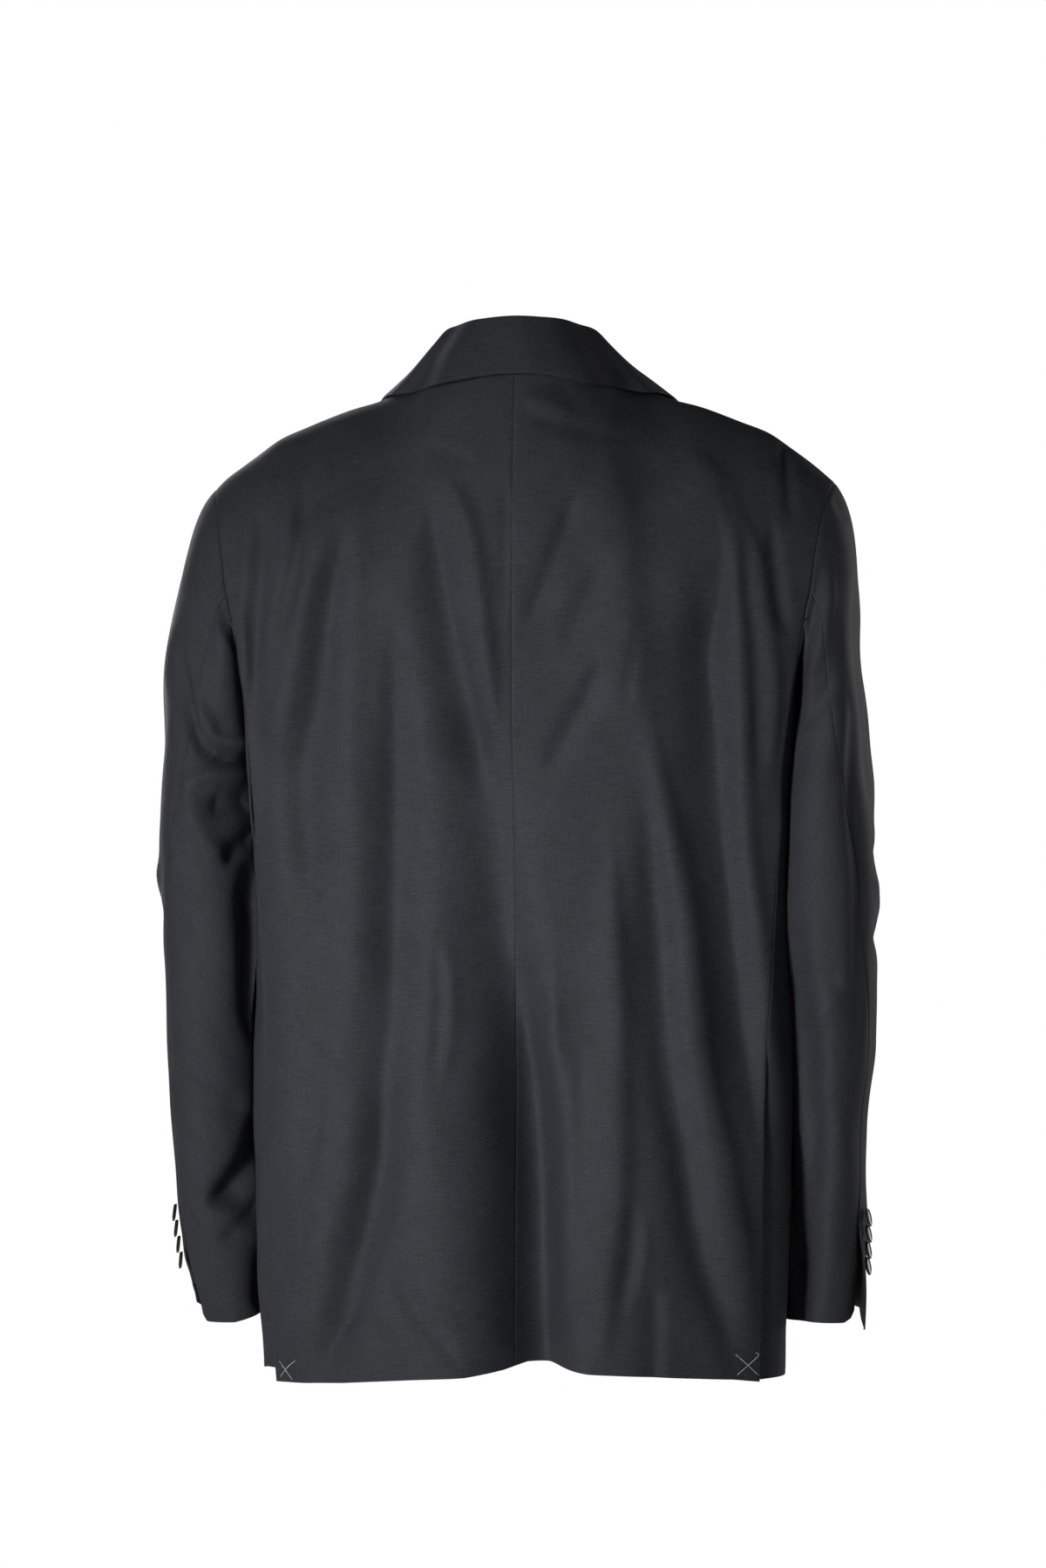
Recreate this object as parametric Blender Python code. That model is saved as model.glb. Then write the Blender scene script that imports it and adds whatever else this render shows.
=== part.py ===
"""A tailored jacket in its worn form, hollow, with the arms hanging.

Metres, +Z up. The origin is the middle of the neck opening at the height of
the shoulder seams' neck ends, where a wearer's neck and shoulders hold it.
The fronts face -Y, the back faces +Y and the wearer's left is +X.

Each cloth piece is a wall worked out from one smooth figure: a point of the
body is a place (x, z) and the depth there, and a sleeve is a row of rings.
"""

import math
from collections import namedtuple

import bmesh
import bpy
import numpy as np
from mathutils import Matrix, Vector

# ---------------------------------------------------------------- sizes
WALL = 0.0018  # cloth with its backing
SEAM_GAP = 0.0003  # between pieces along a seam
LAID_GAP = 0.0008  # under a piece that lies on a panel

NECK_HALF = 0.076  # neck centre to the shoulder seam's neck end
NECK_BACK = 0.087  # depth of the nape
NAPE_Z = 0.002
SHOULDER_HALF = 0.245
SHOULDER_Z = -0.092

ARMHOLE_Z = -0.180  # middle of the armhole
ARMHOLE_HALF_HEIGHT = 0.088
ARMHOLE_BACK = 0.080
ARMHOLE_FRONT = 0.072
NOTCH_ANGLE = math.radians(-13)  # where the side body's seams meet the armhole

FRONT_OVERLAP = 0.020  # each front past the centre
BREAK_Z = -0.415  # where the lapel starts to roll
CORNER_Z = -0.560  # where the front edge starts to curve away
CORNER_RUN = 0.075  # how far it curves away at the hem
UNDER_FRONT_DROP = 0.006  # the right front under the left

VENT_TOP_Z = -0.518
VENT_DROP = 0.0036  # the side body's vent edge under the back
VENT_PART = 0.0008  # the vent's edges apart where it starts
VENT_LAP = 0.010  # how far the back laps over it
VENT_HEM_STEP = {1: 0.0065, -1: 0.0015}  # the side body's corner above the back's
SLEEVE_CLEAR = 0.0024  # sleeve to body below the arm
SHOULDER_LIFT = {1: 0.0008, -1: 0.0024}  # the left shoulder hangs lower

BODY_ROWS = 16  # hem to armhole notch
ARMHOLE_ROWS = 8  # armhole notch to shoulder point
SIDE_COLUMNS = 10
NECK_SHARES = (0.0, 0.26, 0.50, 0.71, 0.87)  # of the neck's half width
SHOULDER_COLUMNS = 8
CAP_ROWS = 7
ARM_ROWS = 13
CAP_Z = -0.300  # the first whole ring of a sleeve

BODY_ROUNDING = 3.0
RING_POWER = 2.3

BodyRow = namedtuple("BodyRow", "z side back_depth front_depth")
BODY = (
    BodyRow(-0.810, 0.2035, 0.125, 0.120),
    BodyRow(-0.740, 0.2070, 0.125, 0.120),
    BodyRow(-0.670, 0.2090, 0.123, 0.118),
    BodyRow(-0.600, 0.2120, 0.119, 0.115),
    BodyRow(-0.530, 0.2125, 0.114, 0.112),
    BodyRow(-0.430, 0.2090, 0.109, 0.112),
    BodyRow(-0.360, 0.2100, 0.111, 0.118),
    BodyRow(-0.310, 0.2135, 0.116, 0.126),
    BodyRow(-0.260, 0.2170, 0.121, 0.132),
    BodyRow(-0.200, 0.2200, 0.124, 0.134),
    BodyRow(-0.100, 0.2300, 0.124, 0.130),
)

# the side body's two seams and, above the notch, the armhole's two edges
SeamRow = namedtuple("SeamRow", "z back_x back_y front_x front_y")
SIDE_SEAMS = (
    SeamRow(-0.810, 0.1880, 0.068, 0.1930, 0.058),
    SeamRow(-0.660, 0.1910, 0.067, 0.1955, 0.056),
    SeamRow(-0.527, 0.1940, 0.065, 0.1985, 0.052),
    SeamRow(-0.430, 0.1990, 0.064, 0.2000, 0.050),
    SeamRow(-0.370, 0.2040, 0.068, 0.2030, 0.054),
    SeamRow(-0.300, 0.2095, 0.075, 0.2080, 0.062),
    SeamRow(-0.250, 0.2145, 0.079, 0.2125, 0.068),
    SeamRow(-0.200, 0.2225, 0.080, 0.2200, 0.072),
    SeamRow(-0.174, 0.2280, 0.080, 0.2260, 0.072),
    SeamRow(-0.150, 0.2310, 0.080, 0.2300, 0.072),
    SeamRow(-0.124, 0.2355, 0.080, 0.2350, 0.072),
    SeamRow(-0.106, 0.2400, 0.080, 0.2400, 0.072),
    SeamRow(-0.092, 0.2450, 0.080, 0.2450, 0.072),
)

ShoulderRow = namedtuple("ShoulderRow", "x z")
SHOULDER = (
    ShoulderRow(0.076, 0.000),
    ShoulderRow(0.112, -0.0212),
    ShoulderRow(0.140, -0.0300),
    ShoulderRow(0.173, -0.0435),
    ShoulderRow(0.192, -0.0515),
    ShoulderRow(0.211, -0.0645),
    ShoulderRow(0.229, -0.0780),
    ShoulderRow(0.245, -0.0920),
)

# a sleeve's rings; the hind seam's angle is from the outermost point backwards
RingRow = namedtuple("RingRow", "z inner outer_left outer_right front back hind_degrees")
RINGS = (
    RingRow(-0.300, 0.2120, 0.2870, 0.2705, -0.086, 0.079, 76),
    RingRow(-0.340, 0.2090, 0.2885, 0.2735, -0.086, 0.079, 62),
    RingRow(-0.380, 0.2080, 0.2905, 0.2765, -0.087, 0.077, 50),
    RingRow(-0.450, 0.2070, 0.2880, 0.2780, -0.092, 0.070, 42),
    RingRow(-0.530, 0.2080, 0.2872, 0.2770, -0.100, 0.058, 34),
    RingRow(-0.600, 0.2090, 0.2850, 0.2695, -0.106, 0.044, 32),
    RingRow(-0.680, 0.2080, 0.2795, 0.2690, -0.110, 0.028, 32),
    RingRow(-0.752, 0.2060, 0.2690, 0.2665, -0.113, 0.012, 34),
)
FORE_DEGREES = 240
CAP_OUT = {1: 0.098, -1: 0.078}  # how far the sleeve head springs out, left and right
CAP_BACK_OUT = 0.045
CAP_LEAST_OUT = 0.006
CAP_LEAVE_DROP = 0.5  # how steeply the head leaves the armhole
CAP_ARRIVE_DROP = 0.9  # and how straight it comes down on the first whole ring
CAP_STEP = 0.030

CUFF_VENT_Z = -0.630
CUFF_FLARE = 0.006
CUFF_TUCK = 0.0015

# collar, from the nape to the neck point and on down the front's edge
CollarRow = namedtuple("CollarRow", "stand fold_in edge_x edge_z")
COLLAR = (
    CollarRow(0.0315, 0.001, 0.000, -0.0080),
    CollarRow(0.0310, 0.002, 0.030, -0.0105),
    CollarRow(0.0300, 0.005, 0.057, -0.0145),
    CollarRow(0.0285, 0.006, 0.080, -0.0178),
    CollarRow(0.0235, 0.006, 0.099, -0.0190),
    CollarRow(0.0090, 0.005, 0.1120, -0.0170),
    CollarRow(0.0078, 0.004, 0.121, -0.0300),
    CollarRow(0.0065, 0.003, 0.128, -0.0460),
    CollarRow(0.0055, 0.002, 0.132, -0.0640),
    CollarRow(0.0048, 0.001, 0.132, -0.0830),
    CollarRow(0.0042, 0.000, 0.127, -0.1000),
)
COLLAR_EDGE_DROP = 0.0045  # from the fall's edge down to the back under it
COLLAR_EDGE_GAP = 0.0040
COLLAR_DRAWN_IN = 0.975  # its seam inside the neckline
COLLAR_RAISED = 0.0012  # and above it
COLLAR_FOLD = 0.0048  # width of the fold, which holds both walls and a little air
COLLAR_CROWN = 0.0006
FALL_SWELL = 0.0015
COLLAR_STAND_ROWS = 3
COLLAR_FALL_ROWS = 5

LAPEL_ROWS = 12
LAPEL_COLUMNS = 5
LAPEL_TIP_X = 0.142
LAPEL_TIP_Z = -0.134
LAPEL_BELLY = 0.85
LAPEL_START_Z = BREAK_Z + 0.010
LAPEL_START_X = -FRONT_OVERLAP + 0.004
LAPEL_PUFF = 0.003
GORGE_Z = -0.064  # where the lapel meets the collar on the roll

FLAP_WIDTH = 0.108
FLAP_DROP = 0.052
FLAP_X = 0.082
FLAP_Z = -0.535
WELT_X = 0.106
WELT_Z = -0.232
WELT_WIDTH = 0.086
WELT_DROP = 0.024
WELT_RISE = 0.010

FRONT_BUTTON_RADIUS = 0.0100
FRONT_BUTTON_THICK = 0.0038
FRONT_BUTTON_HEIGHTS = (-0.423, -0.533)
CUFF_BUTTON_RADIUS = 0.0075
CUFF_BUTTON_THICK = 0.0024
CUFF_BUTTON_PITCH = 0.0130
CUFF_BUTTON_FIRST_Z = -0.668
CUFF_BUTTON_TILT = math.radians(14)
CUFF_BUTTON_GAP = 0.0007

# the largest folds of the back: a soft trough or ridge along a line, x to the wearer's left
Fold = namedtuple("Fold", "x0 z0 x1 z1 width depth")
BACK_FOLDS = (
    # the deep pleat at the centre
    Fold(0.048, -0.190, 0.012, -0.560, 0.022, -0.0080),
    Fold(0.022, -0.430, 0.006, -0.900, 0.036, -0.0100),
    Fold(0.004, -0.430, -0.018, -0.900, 0.020, -0.0120),
    Fold(-0.034, -0.450, -0.036, -0.900, 0.018, 0.0035),
    # left of it
    Fold(0.066, -0.250, 0.056, -0.900, 0.024, 0.0050),
    Fold(0.0905, -0.180, 0.0930, -0.600, 0.018, -0.0055),
    Fold(0.088, -0.500, 0.156, -0.830, 0.020, -0.0060),
    Fold(0.118, -0.150, 0.124, -0.640, 0.018, 0.0040),
    Fold(0.148, -0.150, 0.150, -0.480, 0.016, -0.0045),
    Fold(0.160, -0.095, 0.186, -0.260, 0.016, -0.0035),
    # right of it
    Fold(-0.080, -0.280, -0.076, -0.900, 0.022, 0.0050),
    Fold(-0.098, -0.340, -0.150, -0.820, 0.020, -0.0080),
    Fold(-0.128, -0.280, -0.180, -0.850, 0.018, 0.0045),
    Fold(-0.148, -0.110, -0.178, -0.560, 0.018, -0.0075),
    Fold(-0.166, -0.080, -0.184, -0.420, 0.016, 0.0045),
)

CLOTH_COLOUR = (0.022, 0.024, 0.028)
BUTTON_COLOUR = (0.035, 0.022, 0.014)


# ---------------------------------------------------------------- smooth tables
def smooth(at, places, values):
    """A smooth curve through a table's values, without overshoot."""
    places = np.asarray(places, float)
    values = np.asarray(values, float)
    at = np.clip(at, places[0], places[-1])
    slopes = np.diff(values) / np.diff(places)
    before = slopes[:-1]
    after = slopes[1:]
    total = np.where(np.abs(before + after) < 1e-12, 1.0, before + after)
    inner = np.where(before * after > 0, 2 * before * after / total, 0.0)
    tangents = np.concatenate([[slopes[0]], inner, [slopes[-1]]])
    k = int(np.clip(np.searchsorted(places, at) - 1, 0, len(places) - 2))
    step = places[k + 1] - places[k]
    t = (at - places[k]) / step
    rise = t * t * (3 - 2 * t)
    start = step * tangents[k] * t * (1 - t) ** 2
    end = step * tangents[k + 1] * t * t * (t - 1)
    return values[k] * (1 - rise) + values[k + 1] * rise + start + end


def column(rows, name, at, key="z"):
    places = [getattr(row, key) for row in rows]
    values = [getattr(row, name) for row in rows]
    return smooth(at, places, values)


def sleeve_size(name, z):
    return column(RINGS[::-1], name, z)


def ease(value, low, high):
    t = min(max((value - low) / (high - low), 0.0), 1.0)
    return t * t * (3 - 2 * t)


def mix(a, b, share):
    return a + (b - a) * share


# ---------------------------------------------------------------- the figure
def edge_x(z, face):
    return column(SIDE_SEAMS, "back_x" if face > 0 else "front_x", z)


def shoulder_top(x):
    """Height of the shoulder seam, and inside the neck that of the nape."""
    if x < NECK_HALF:
        return mix(NAPE_Z, SHOULDER[0].z, (x / NECK_HALF) ** 2)
    return column(SHOULDER, "z", x, "x")


def neck_depth(x):
    share = min(x / NECK_HALF, 1.0)
    return NECK_BACK * math.sqrt(max(1 - share**2.2, 0.0))


def surface_depth(x, z, face):
    """How far the outside lies from the XZ plane, behind it (face 1) or before it (-1)."""
    x = abs(x)
    name = "back" if face > 0 else "front"
    middle = column(BODY, name + "_depth", z)
    edge = column(SIDE_SEAMS, name + "_y", z)
    across = min(x / edge_x(z, face), 1.0)
    tube = mix(middle, edge, across**BODY_ROUNDING)
    start = mix(-0.200, ARMHOLE_Z, across)
    if z <= start:
        return tube
    top = shoulder_top(x)
    up = min((z - start) / max(top - start, 1e-6), 1.0)
    round_in = mix(1.7, 2.0, across)
    round_out = mix(1.6, 2.0, across)
    seam = neck_depth(x) if face > 0 else 0.0
    return mix(seam, tube, (1 - up**round_in) ** (1 / round_out))


def fold_height(x, z, side):
    """Sum of the back's folds at a place, positive outwards."""
    total = 0.0
    for fold in BACK_FOLDS:
        run = np.array([fold.x1 - fold.x0, fold.z1 - fold.z0])
        offset = np.array([side * x - fold.x0, z - fold.z0])
        along = float(offset @ run / (run @ run))
        away = float(np.linalg.norm(offset - run * along))
        fade = ease(along, -0.05, 0.35) * ease(1 - along, -0.10, 0.25)
        total += fold.depth * fade * math.exp(-((away / fold.width) ** 2))
    return total


def back_point(x, z, side):
    """A place on the back, x counted outwards from the centre-back seam."""
    still = ease(edge_x(z, 1) - x, 0.0, 0.030) * ease(shoulder_top(x) - z, 0.0, 0.040)
    depth = surface_depth(x, z, 1) + fold_height(x, z, side) * still
    return np.array([side * x, depth, z])


def front_point(x, z, side):
    """A place on a front, x counted from the centre to the front's own side."""
    depth = surface_depth(x, z, -1)
    if side < 0:
        depth -= UNDER_FRONT_DROP * (1 - ease(x, 0.020, 0.075)) * ease(-z, 0.100, 0.360)
    return np.array([side * x, -depth, z])


def on_back(x, z, side, lift):
    """A place on the back, moved out by lift."""
    step = 0.001
    across = (surface_depth(x + step, z, 1) - surface_depth(x - step, z, 1)) / (2 * step)
    up = (surface_depth(x, z + step, 1) - surface_depth(x, z - step, 1)) / (2 * step)
    normal = unit(np.array([-across * side, 1.0, -up]))
    return np.array([side * x, surface_depth(x, z, 1), z]) + normal * lift


def front_normal(x, z, side):
    step = 0.002
    across = front_point(x + step, z, side) - front_point(x - step, z, side)
    up = front_point(x, z + step, side) - front_point(x, z - step, side)
    normal = np.cross(across, up) * side
    return normal / np.linalg.norm(normal)


def on_front(x, z, side, lift):
    """A place on a front, moved out by lift."""
    return front_point(x, z, side) + front_normal(x, z, side) * lift


# ---------------------------------------------------------------- rows and columns
def hem_back(x):
    towards_middle = 0.0085 * ease(0.19 - x, 0.0, 0.12)
    raised_middle = 0.0085 * math.exp(-((x / 0.034) ** 2))
    return -0.7885 + towards_middle + raised_middle


def hem_front(x):
    return -0.792 - 0.012 * ease(0.20 - x, 0.0, 0.12)


HEM_SIDE = hem_back(edge_x(-0.788, 1))
NOTCH_Z = ARMHOLE_Z + ARMHOLE_HALF_HEIGHT * math.sin(NOTCH_ANGLE)


def edge_heights():
    """Heights of a panel's rows at its side edge: up the seam, then up the armhole."""
    heights = []
    for row in range(BODY_ROWS):
        share = (row / BODY_ROWS) ** 1.2
        heights.append(mix(HEM_SIDE, NOTCH_Z, share))
    for row in range(ARMHOLE_ROWS + 1):
        angle = mix(NOTCH_ANGLE, math.pi / 2, row / ARMHOLE_ROWS)
        heights.append(ARMHOLE_Z + ARMHOLE_HALF_HEIGHT * math.sin(angle))
    return heights


EDGE_HEIGHTS = edge_heights()


def row_share(height):
    return (height - HEM_SIDE) / (SHOULDER_Z - HEM_SIDE)


def shoulder_places():
    """x of the shoulder seam's points, neck to sleeve."""
    shares = [k / SHOULDER_COLUMNS for k in range(SHOULDER_COLUMNS + 1)]
    return [mix(NECK_HALF, SHOULDER_HALF, share) for share in shares]


def back_grid(side):
    tops = [share * NECK_HALF for share in NECK_SHARES] + shoulder_places()
    rows = []
    for height in EDGE_HEIGHTS:
        share = row_share(height)
        row = []
        for top_x in tops:
            x = top_x / SHOULDER_HALF * edge_x(height, 1)
            low = hem_back(top_x / SHOULDER_HALF * edge_x(HEM_SIDE, 1))
            z = mix(low, shoulder_top(top_x), share)
            if top_x == SHOULDER_HALF:
                z = height
            row.append(back_point(x, z, side))
        rows.append(row)
    return np.array(rows)


def roll_x(z):
    """x of a front's inner edge: the overlap, the roll above it, the curved corner below."""
    if z > BREAK_Z:
        share = (z - BREAK_Z) / -BREAK_Z
        return -FRONT_OVERLAP + (NECK_HALF + FRONT_OVERLAP) * share
    if z > CORNER_Z:
        return -FRONT_OVERLAP
    t = min((CORNER_Z - z) / (CORNER_Z - hem_front(0.0)), 1.0)
    return -FRONT_OVERLAP + CORNER_RUN * (1 - (1 - t**2.6) ** (1 / 1.6))


def front_grid(side):
    """Rows up, columns from the side seam to the inner edge."""
    tops = shoulder_places()[::-1]
    rows = []
    for height in EDGE_HEIGHTS:
        share = row_share(height)
        outer = edge_x(height, -1)
        row = []
        for top_x in tops:
            inwards = (SHOULDER_HALF - top_x) / (SHOULDER_HALF - NECK_HALF)
            low = hem_front(mix(edge_x(HEM_SIDE, -1), -FRONT_OVERLAP, inwards))
            if inwards == 0:
                low = HEM_SIDE
            z = mix(low, shoulder_top(top_x), share)
            inner = roll_x(mix(hem_front(0.0), 0.0, share))
            x = mix(outer, inner, inwards)
            row.append(front_point(x, z, side))
        rows.append(row)
    return np.array(rows)


def side_x(t, z):
    """x of the side body's outside, t from its back seam to its front seam."""
    back_x = edge_x(z, 1)
    front_x = edge_x(z, -1)
    bulge = column(BODY, "side", z) - mix(back_x, front_x, 0.5)
    return mix(back_x, front_x, t) + 4 * bulge * t * (1 - t) * (1.5 - t)


def side_grid(side):
    """Rows up from the hem to the underarm, columns from the back seam to the front seam."""
    rows = []
    for index in range(BODY_ROWS + 1):
        height = EDGE_HEIGHTS[index]
        up = (height - HEM_SIDE) / (NOTCH_Z - HEM_SIDE)
        row = []
        for k in range(SIDE_COLUMNS + 1):
            t = k / SIDE_COLUMNS
            angle = mix(NOTCH_ANGLE, -math.pi - NOTCH_ANGLE, t)
            top = ARMHOLE_Z + ARMHOLE_HALF_HEIGHT * math.sin(angle)
            z = mix(HEM_SIDE, top, up)
            back_y = surface_depth(edge_x(height, 1), height, 1)
            front_y = -surface_depth(edge_x(height, -1), height, -1)
            y = mix(back_y, front_y, t)
            reach = ARMHOLE_BACK if math.cos(angle) > 0 else ARMHOLE_FRONT
            y = mix(y, reach * math.cos(angle), up**6)
            if k in (0, SIDE_COLUMNS):
                y = (back_y, front_y)[k > 0]
            x = side_x(t, z)
            if k in (0, SIDE_COLUMNS):
                x = edge_x(height, 1 if k == 0 else -1)
            row.append(np.array([side * x, y, z]))
        rows.append(row)
    grid = np.array(rows)
    open_vent(side, grid)
    return grid


def open_vent(side, grid):
    """Below the vent's top the side body's back edge drops inwards and laps under the back."""
    inwards = np.array([-side * 0.55, -0.83, 0.0])
    backwards = np.array([-side * 0.83, 0.55, 0.0])
    for row in grid:
        below = VENT_TOP_Z - row[0, 2]
        drop = VENT_DROP * ease(below, 0.0, 0.035)
        lap = VENT_LAP * ease(below, 0.035, 0.075) - VENT_PART * ease(below, -0.010, 0.010)
        step = VENT_HEM_STEP[side] * ease(below, 0.20, 0.27)
        for k, weight in ((0, 1.0), (1, 0.5)):
            row[k] += inwards * drop * weight
        row[0] += backwards * lap
        for k, weight in ((0, 1.0), (1, 1.0), (2, 0.8), (3, 0.5), (4, 0.2)):
            row[k, 2] += step * weight


# ---------------------------------------------------------------- sleeves
def armhole_loop(back, side_body, front):
    """The armhole's points: from the shoulder down the back, under the arm, up the front."""
    top = len(EDGE_HEIGHTS) - 1
    loop = [back[index, -1] for index in range(top, BODY_ROWS - 1, -1)]
    loop += [side_body[-1, k] for k in range(1, SIDE_COLUMNS + 1)]
    loop += [front[index, 0] for index in range(BODY_ROWS + 1, top + 1)]
    return np.array(loop)


HIND = ARMHOLE_ROWS - 1
FORE = ARMHOLE_ROWS + SIDE_COLUMNS + 1
UNDERARM = ARMHOLE_ROWS + SIDE_COLUMNS // 2
LOOP = 2 * ARMHOLE_ROWS + SIDE_COLUMNS


def ring_angle(index, z):
    hind = sleeve_size("hind_degrees", z)
    marks = (0, HIND, UNDERARM, FORE, LOOP)
    return math.radians(np.interp(index, marks, (0, hind, 180, FORE_DEGREES, 360)))


def ring_point(side, angle, z):
    inner = sleeve_size("inner", z)
    outer = sleeve_size("outer_left" if side > 0 else "outer_right", z)
    front = sleeve_size("front", z)
    back = sleeve_size("back", z)
    cos = math.cos(angle)
    sin = math.sin(angle)
    across = math.copysign(abs(cos) ** (2 / RING_POWER), cos)
    along = math.copysign(abs(sin) ** (2 / RING_POWER), sin)
    x = (inner + outer) / 2 + (outer - inner) / 2 * across
    y = (front + back) / 2 + (back - front) / 2 * along
    return np.array([side * x, y, z])


def clear_of_body(side, place):
    """Moves a sleeve's place outwards where it would touch the side body."""
    x, y, z = side * place[0], place[1], place[2]
    back_y = surface_depth(edge_x(z, 1), z, 1)
    front_y = -surface_depth(edge_x(z, -1), z, -1)
    t = (back_y - y) / (back_y - front_y)
    if not -0.15 < t < 1.15:
        return place
    t = min(max(t, 0.0), 1.0)
    angle = mix(NOTCH_ANGLE, -math.pi - NOTCH_ANGLE, t)
    below = ARMHOLE_Z + ARMHOLE_HALF_HEIGHT * math.sin(angle) - z
    if below < 0:
        return place
    least = side_x(t, z) + SEAM_GAP + SLEEVE_CLEAR * ease(below, -0.004, 0.030)
    return np.array([side * max(x, least), y, z])


def sleeve_grid(side, loop):
    """Rows down from the armhole to the cuff, columns round the sleeve."""
    rows = []
    count = len(loop)
    for step in range(CAP_ROWS):
        u = step / CAP_ROWS
        row = []
        for index in range(count):
            start = loop[index]
            end = ring_point(side, ring_angle(index, CAP_Z), CAP_Z)
            below = ring_point(side, ring_angle(index, CAP_Z - CAP_STEP), CAP_Z - CAP_STEP)
            drop = start[2] - end[2]
            height = (start[2] - ARMHOLE_Z) / ARMHOLE_HALF_HEIGHT
            if height > 0:
                out = mix(CAP_BACK_OUT, CAP_OUT[side], height)
            else:
                out = CAP_BACK_OUT * max(1 + height, 0.0) ** 1.5
            leave = np.array([side * max(out, CAP_LEAST_OUT), 0.0, -CAP_LEAVE_DROP * drop])
            arrive = (below - end) / CAP_STEP * drop * CAP_ARRIVE_DROP
            near = 2 * u**3 - 3 * u**2 + 1
            place = near * start + (1 - near) * end
            place = place + (u**3 - 2 * u**2 + u) * leave + (u**3 - u**2) * arrive
            row.append(clear_of_body(side, place) if step else place)
        rows.append(row)
    for step in range(ARM_ROWS + 1):
        z = mix(CAP_Z, RINGS[-1].z, step / ARM_ROWS)
        ring_row = [ring_point(side, ring_angle(index, z), z) for index in range(count)]
        rows.append([clear_of_body(side, place) for place in ring_row])
    return np.array(rows)


def cuff_vent(grid, normals, hind, towards, amount):
    """Moves a sleeve piece's edge at the vent along its normals, most at the hem."""
    for row in range(grid.shape[0]):
        depth = ease(CUFF_VENT_Z - grid[row, hind, 2], 0.0, 0.12)
        for k, weight in ((hind, 1.0), (hind + towards, 0.45), (hind + 2 * towards, 0.12)):
            grid[row, k] += normals[row, k] * amount * depth * weight


# ---------------------------------------------------------------- walls
Panel = namedtuple("Panel", "name grid flip group")


def corner_normals(grid, flip):
    """Area-weighted normals at a grid's points, not yet of unit length."""
    faces = np.cross(grid[1:, 1:] - grid[:-1, :-1], grid[:-1, 1:] - grid[1:, :-1])
    if flip:
        faces = -faces
    total = np.zeros_like(grid)
    total[:-1, :-1] += faces
    total[1:, :-1] += faces
    total[:-1, 1:] += faces
    total[1:, 1:] += faces
    return total


def unit(vectors):
    return vectors / np.maximum(np.linalg.norm(vectors, axis=-1, keepdims=True), 1e-12)


def place_key(point):
    return tuple(np.round(point * 1e6).astype(int))


def shared_normals(panels):
    """Each panel's normals, shared along seams within a group and mitred between groups."""
    found = {}
    for panel in panels:
        totals = corner_normals(panel.grid, panel.flip)
        for place, normal in zip(panel.grid.reshape(-1, 3), totals.reshape(-1, 3)):
            groups = found.setdefault(place_key(place), {})
            groups[panel.group] = groups.get(panel.group, 0) + normal
    result = {}
    for panel in panels:
        normals = np.zeros_like(panel.grid)
        insets = np.zeros(panel.grid.shape[:2])
        for r, row in enumerate(panel.grid):
            for c, place in enumerate(row):
                groups = found[place_key(place)]
                own = unit(groups[panel.group])
                others = [unit(value) for name, value in groups.items() if name != panel.group]
                normals[r, c] = own
                if others:
                    agree = float(own @ others[0])
                    if agree > 0.4:
                        normals[r, c] = (own + others[0]) / (1 + agree)
                    insets[r, c] = SEAM_GAP * (1 - agree) / 2
        result[panel.name] = (normals, insets)
    return result


def leaned(grid):
    """The grid with each shoulder lifted or lowered a little, as the worn jacket hangs."""
    result = grid.copy()
    for place in result.reshape(-1, 3):
        lift = SHOULDER_LIFT[1 if place[0] > 0 else -1]
        place[2] += lift * ease(abs(place[0]), 0.09, 0.20) * ease(place[2], -0.36, -0.10)
    return result


def drawn_in(grid, gap):
    """The grid with its four edges drawn in by half a seam's gap."""
    result = grid.copy()
    for axis in (0, 1):
        lines = np.moveaxis(result, axis, 0)
        source = np.moveaxis(grid, axis, 0)
        lines[0] += unit(source[1] - source[0]) * gap / 2
        lines[-1] += unit(source[-2] - source[-1]) * gap / 2
    return result


def wall_mesh(name, outside, inside):
    """One closed wall between two grids of the same shape."""
    rows, columns = outside.shape[:2]
    mesh = bmesh.new()
    sheets = []
    for grid in (outside, inside):
        sheets.append([[mesh.verts.new(place) for place in row] for row in grid])
    outer, inner = sheets
    for r in range(rows - 1):
        for c in range(columns - 1):
            mesh.faces.new((outer[r][c], outer[r][c + 1], outer[r + 1][c + 1], outer[r + 1][c]))
            mesh.faces.new((inner[r][c], inner[r + 1][c], inner[r + 1][c + 1], inner[r][c + 1]))
    rim = [(0, c) for c in range(columns)]
    rim += [(r, columns - 1) for r in range(1, rows)]
    rim += [(rows - 1, c) for c in range(columns - 2, -1, -1)]
    rim += [(r, 0) for r in range(rows - 2, 0, -1)]
    for (r0, c0), (r1, c1) in zip(rim, rim[1:] + rim[:1]):
        mesh.faces.new((outer[r0][c0], inner[r0][c0], inner[r1][c1], outer[r1][c1]))
    bmesh.ops.triangulate(mesh, faces=mesh.faces, quad_method="SHORT_EDGE")
    bmesh.ops.recalc_face_normals(mesh, faces=mesh.faces)
    data = bpy.data.meshes.new(name)
    mesh.to_mesh(data)
    mesh.free()
    return data


def add_object(name, data, material):
    data.materials.append(material)
    data.shade_smooth()
    data.set_sharp_from_angle(angle=math.radians(40))
    thing = bpy.data.objects.new(name, data)
    bpy.context.scene.collection.objects.link(thing)
    return thing


def add_wall(name, grid, normals, material, insets=None, gap=SEAM_GAP):
    if insets is not None:
        grid = grid - unit(normals) * insets[..., None]
    outside = leaned(drawn_in(grid, gap))
    inside = leaned(drawn_in(grid - normals * WALL, gap))
    return add_object(name, wall_mesh(name, outside, inside), material)


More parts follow.
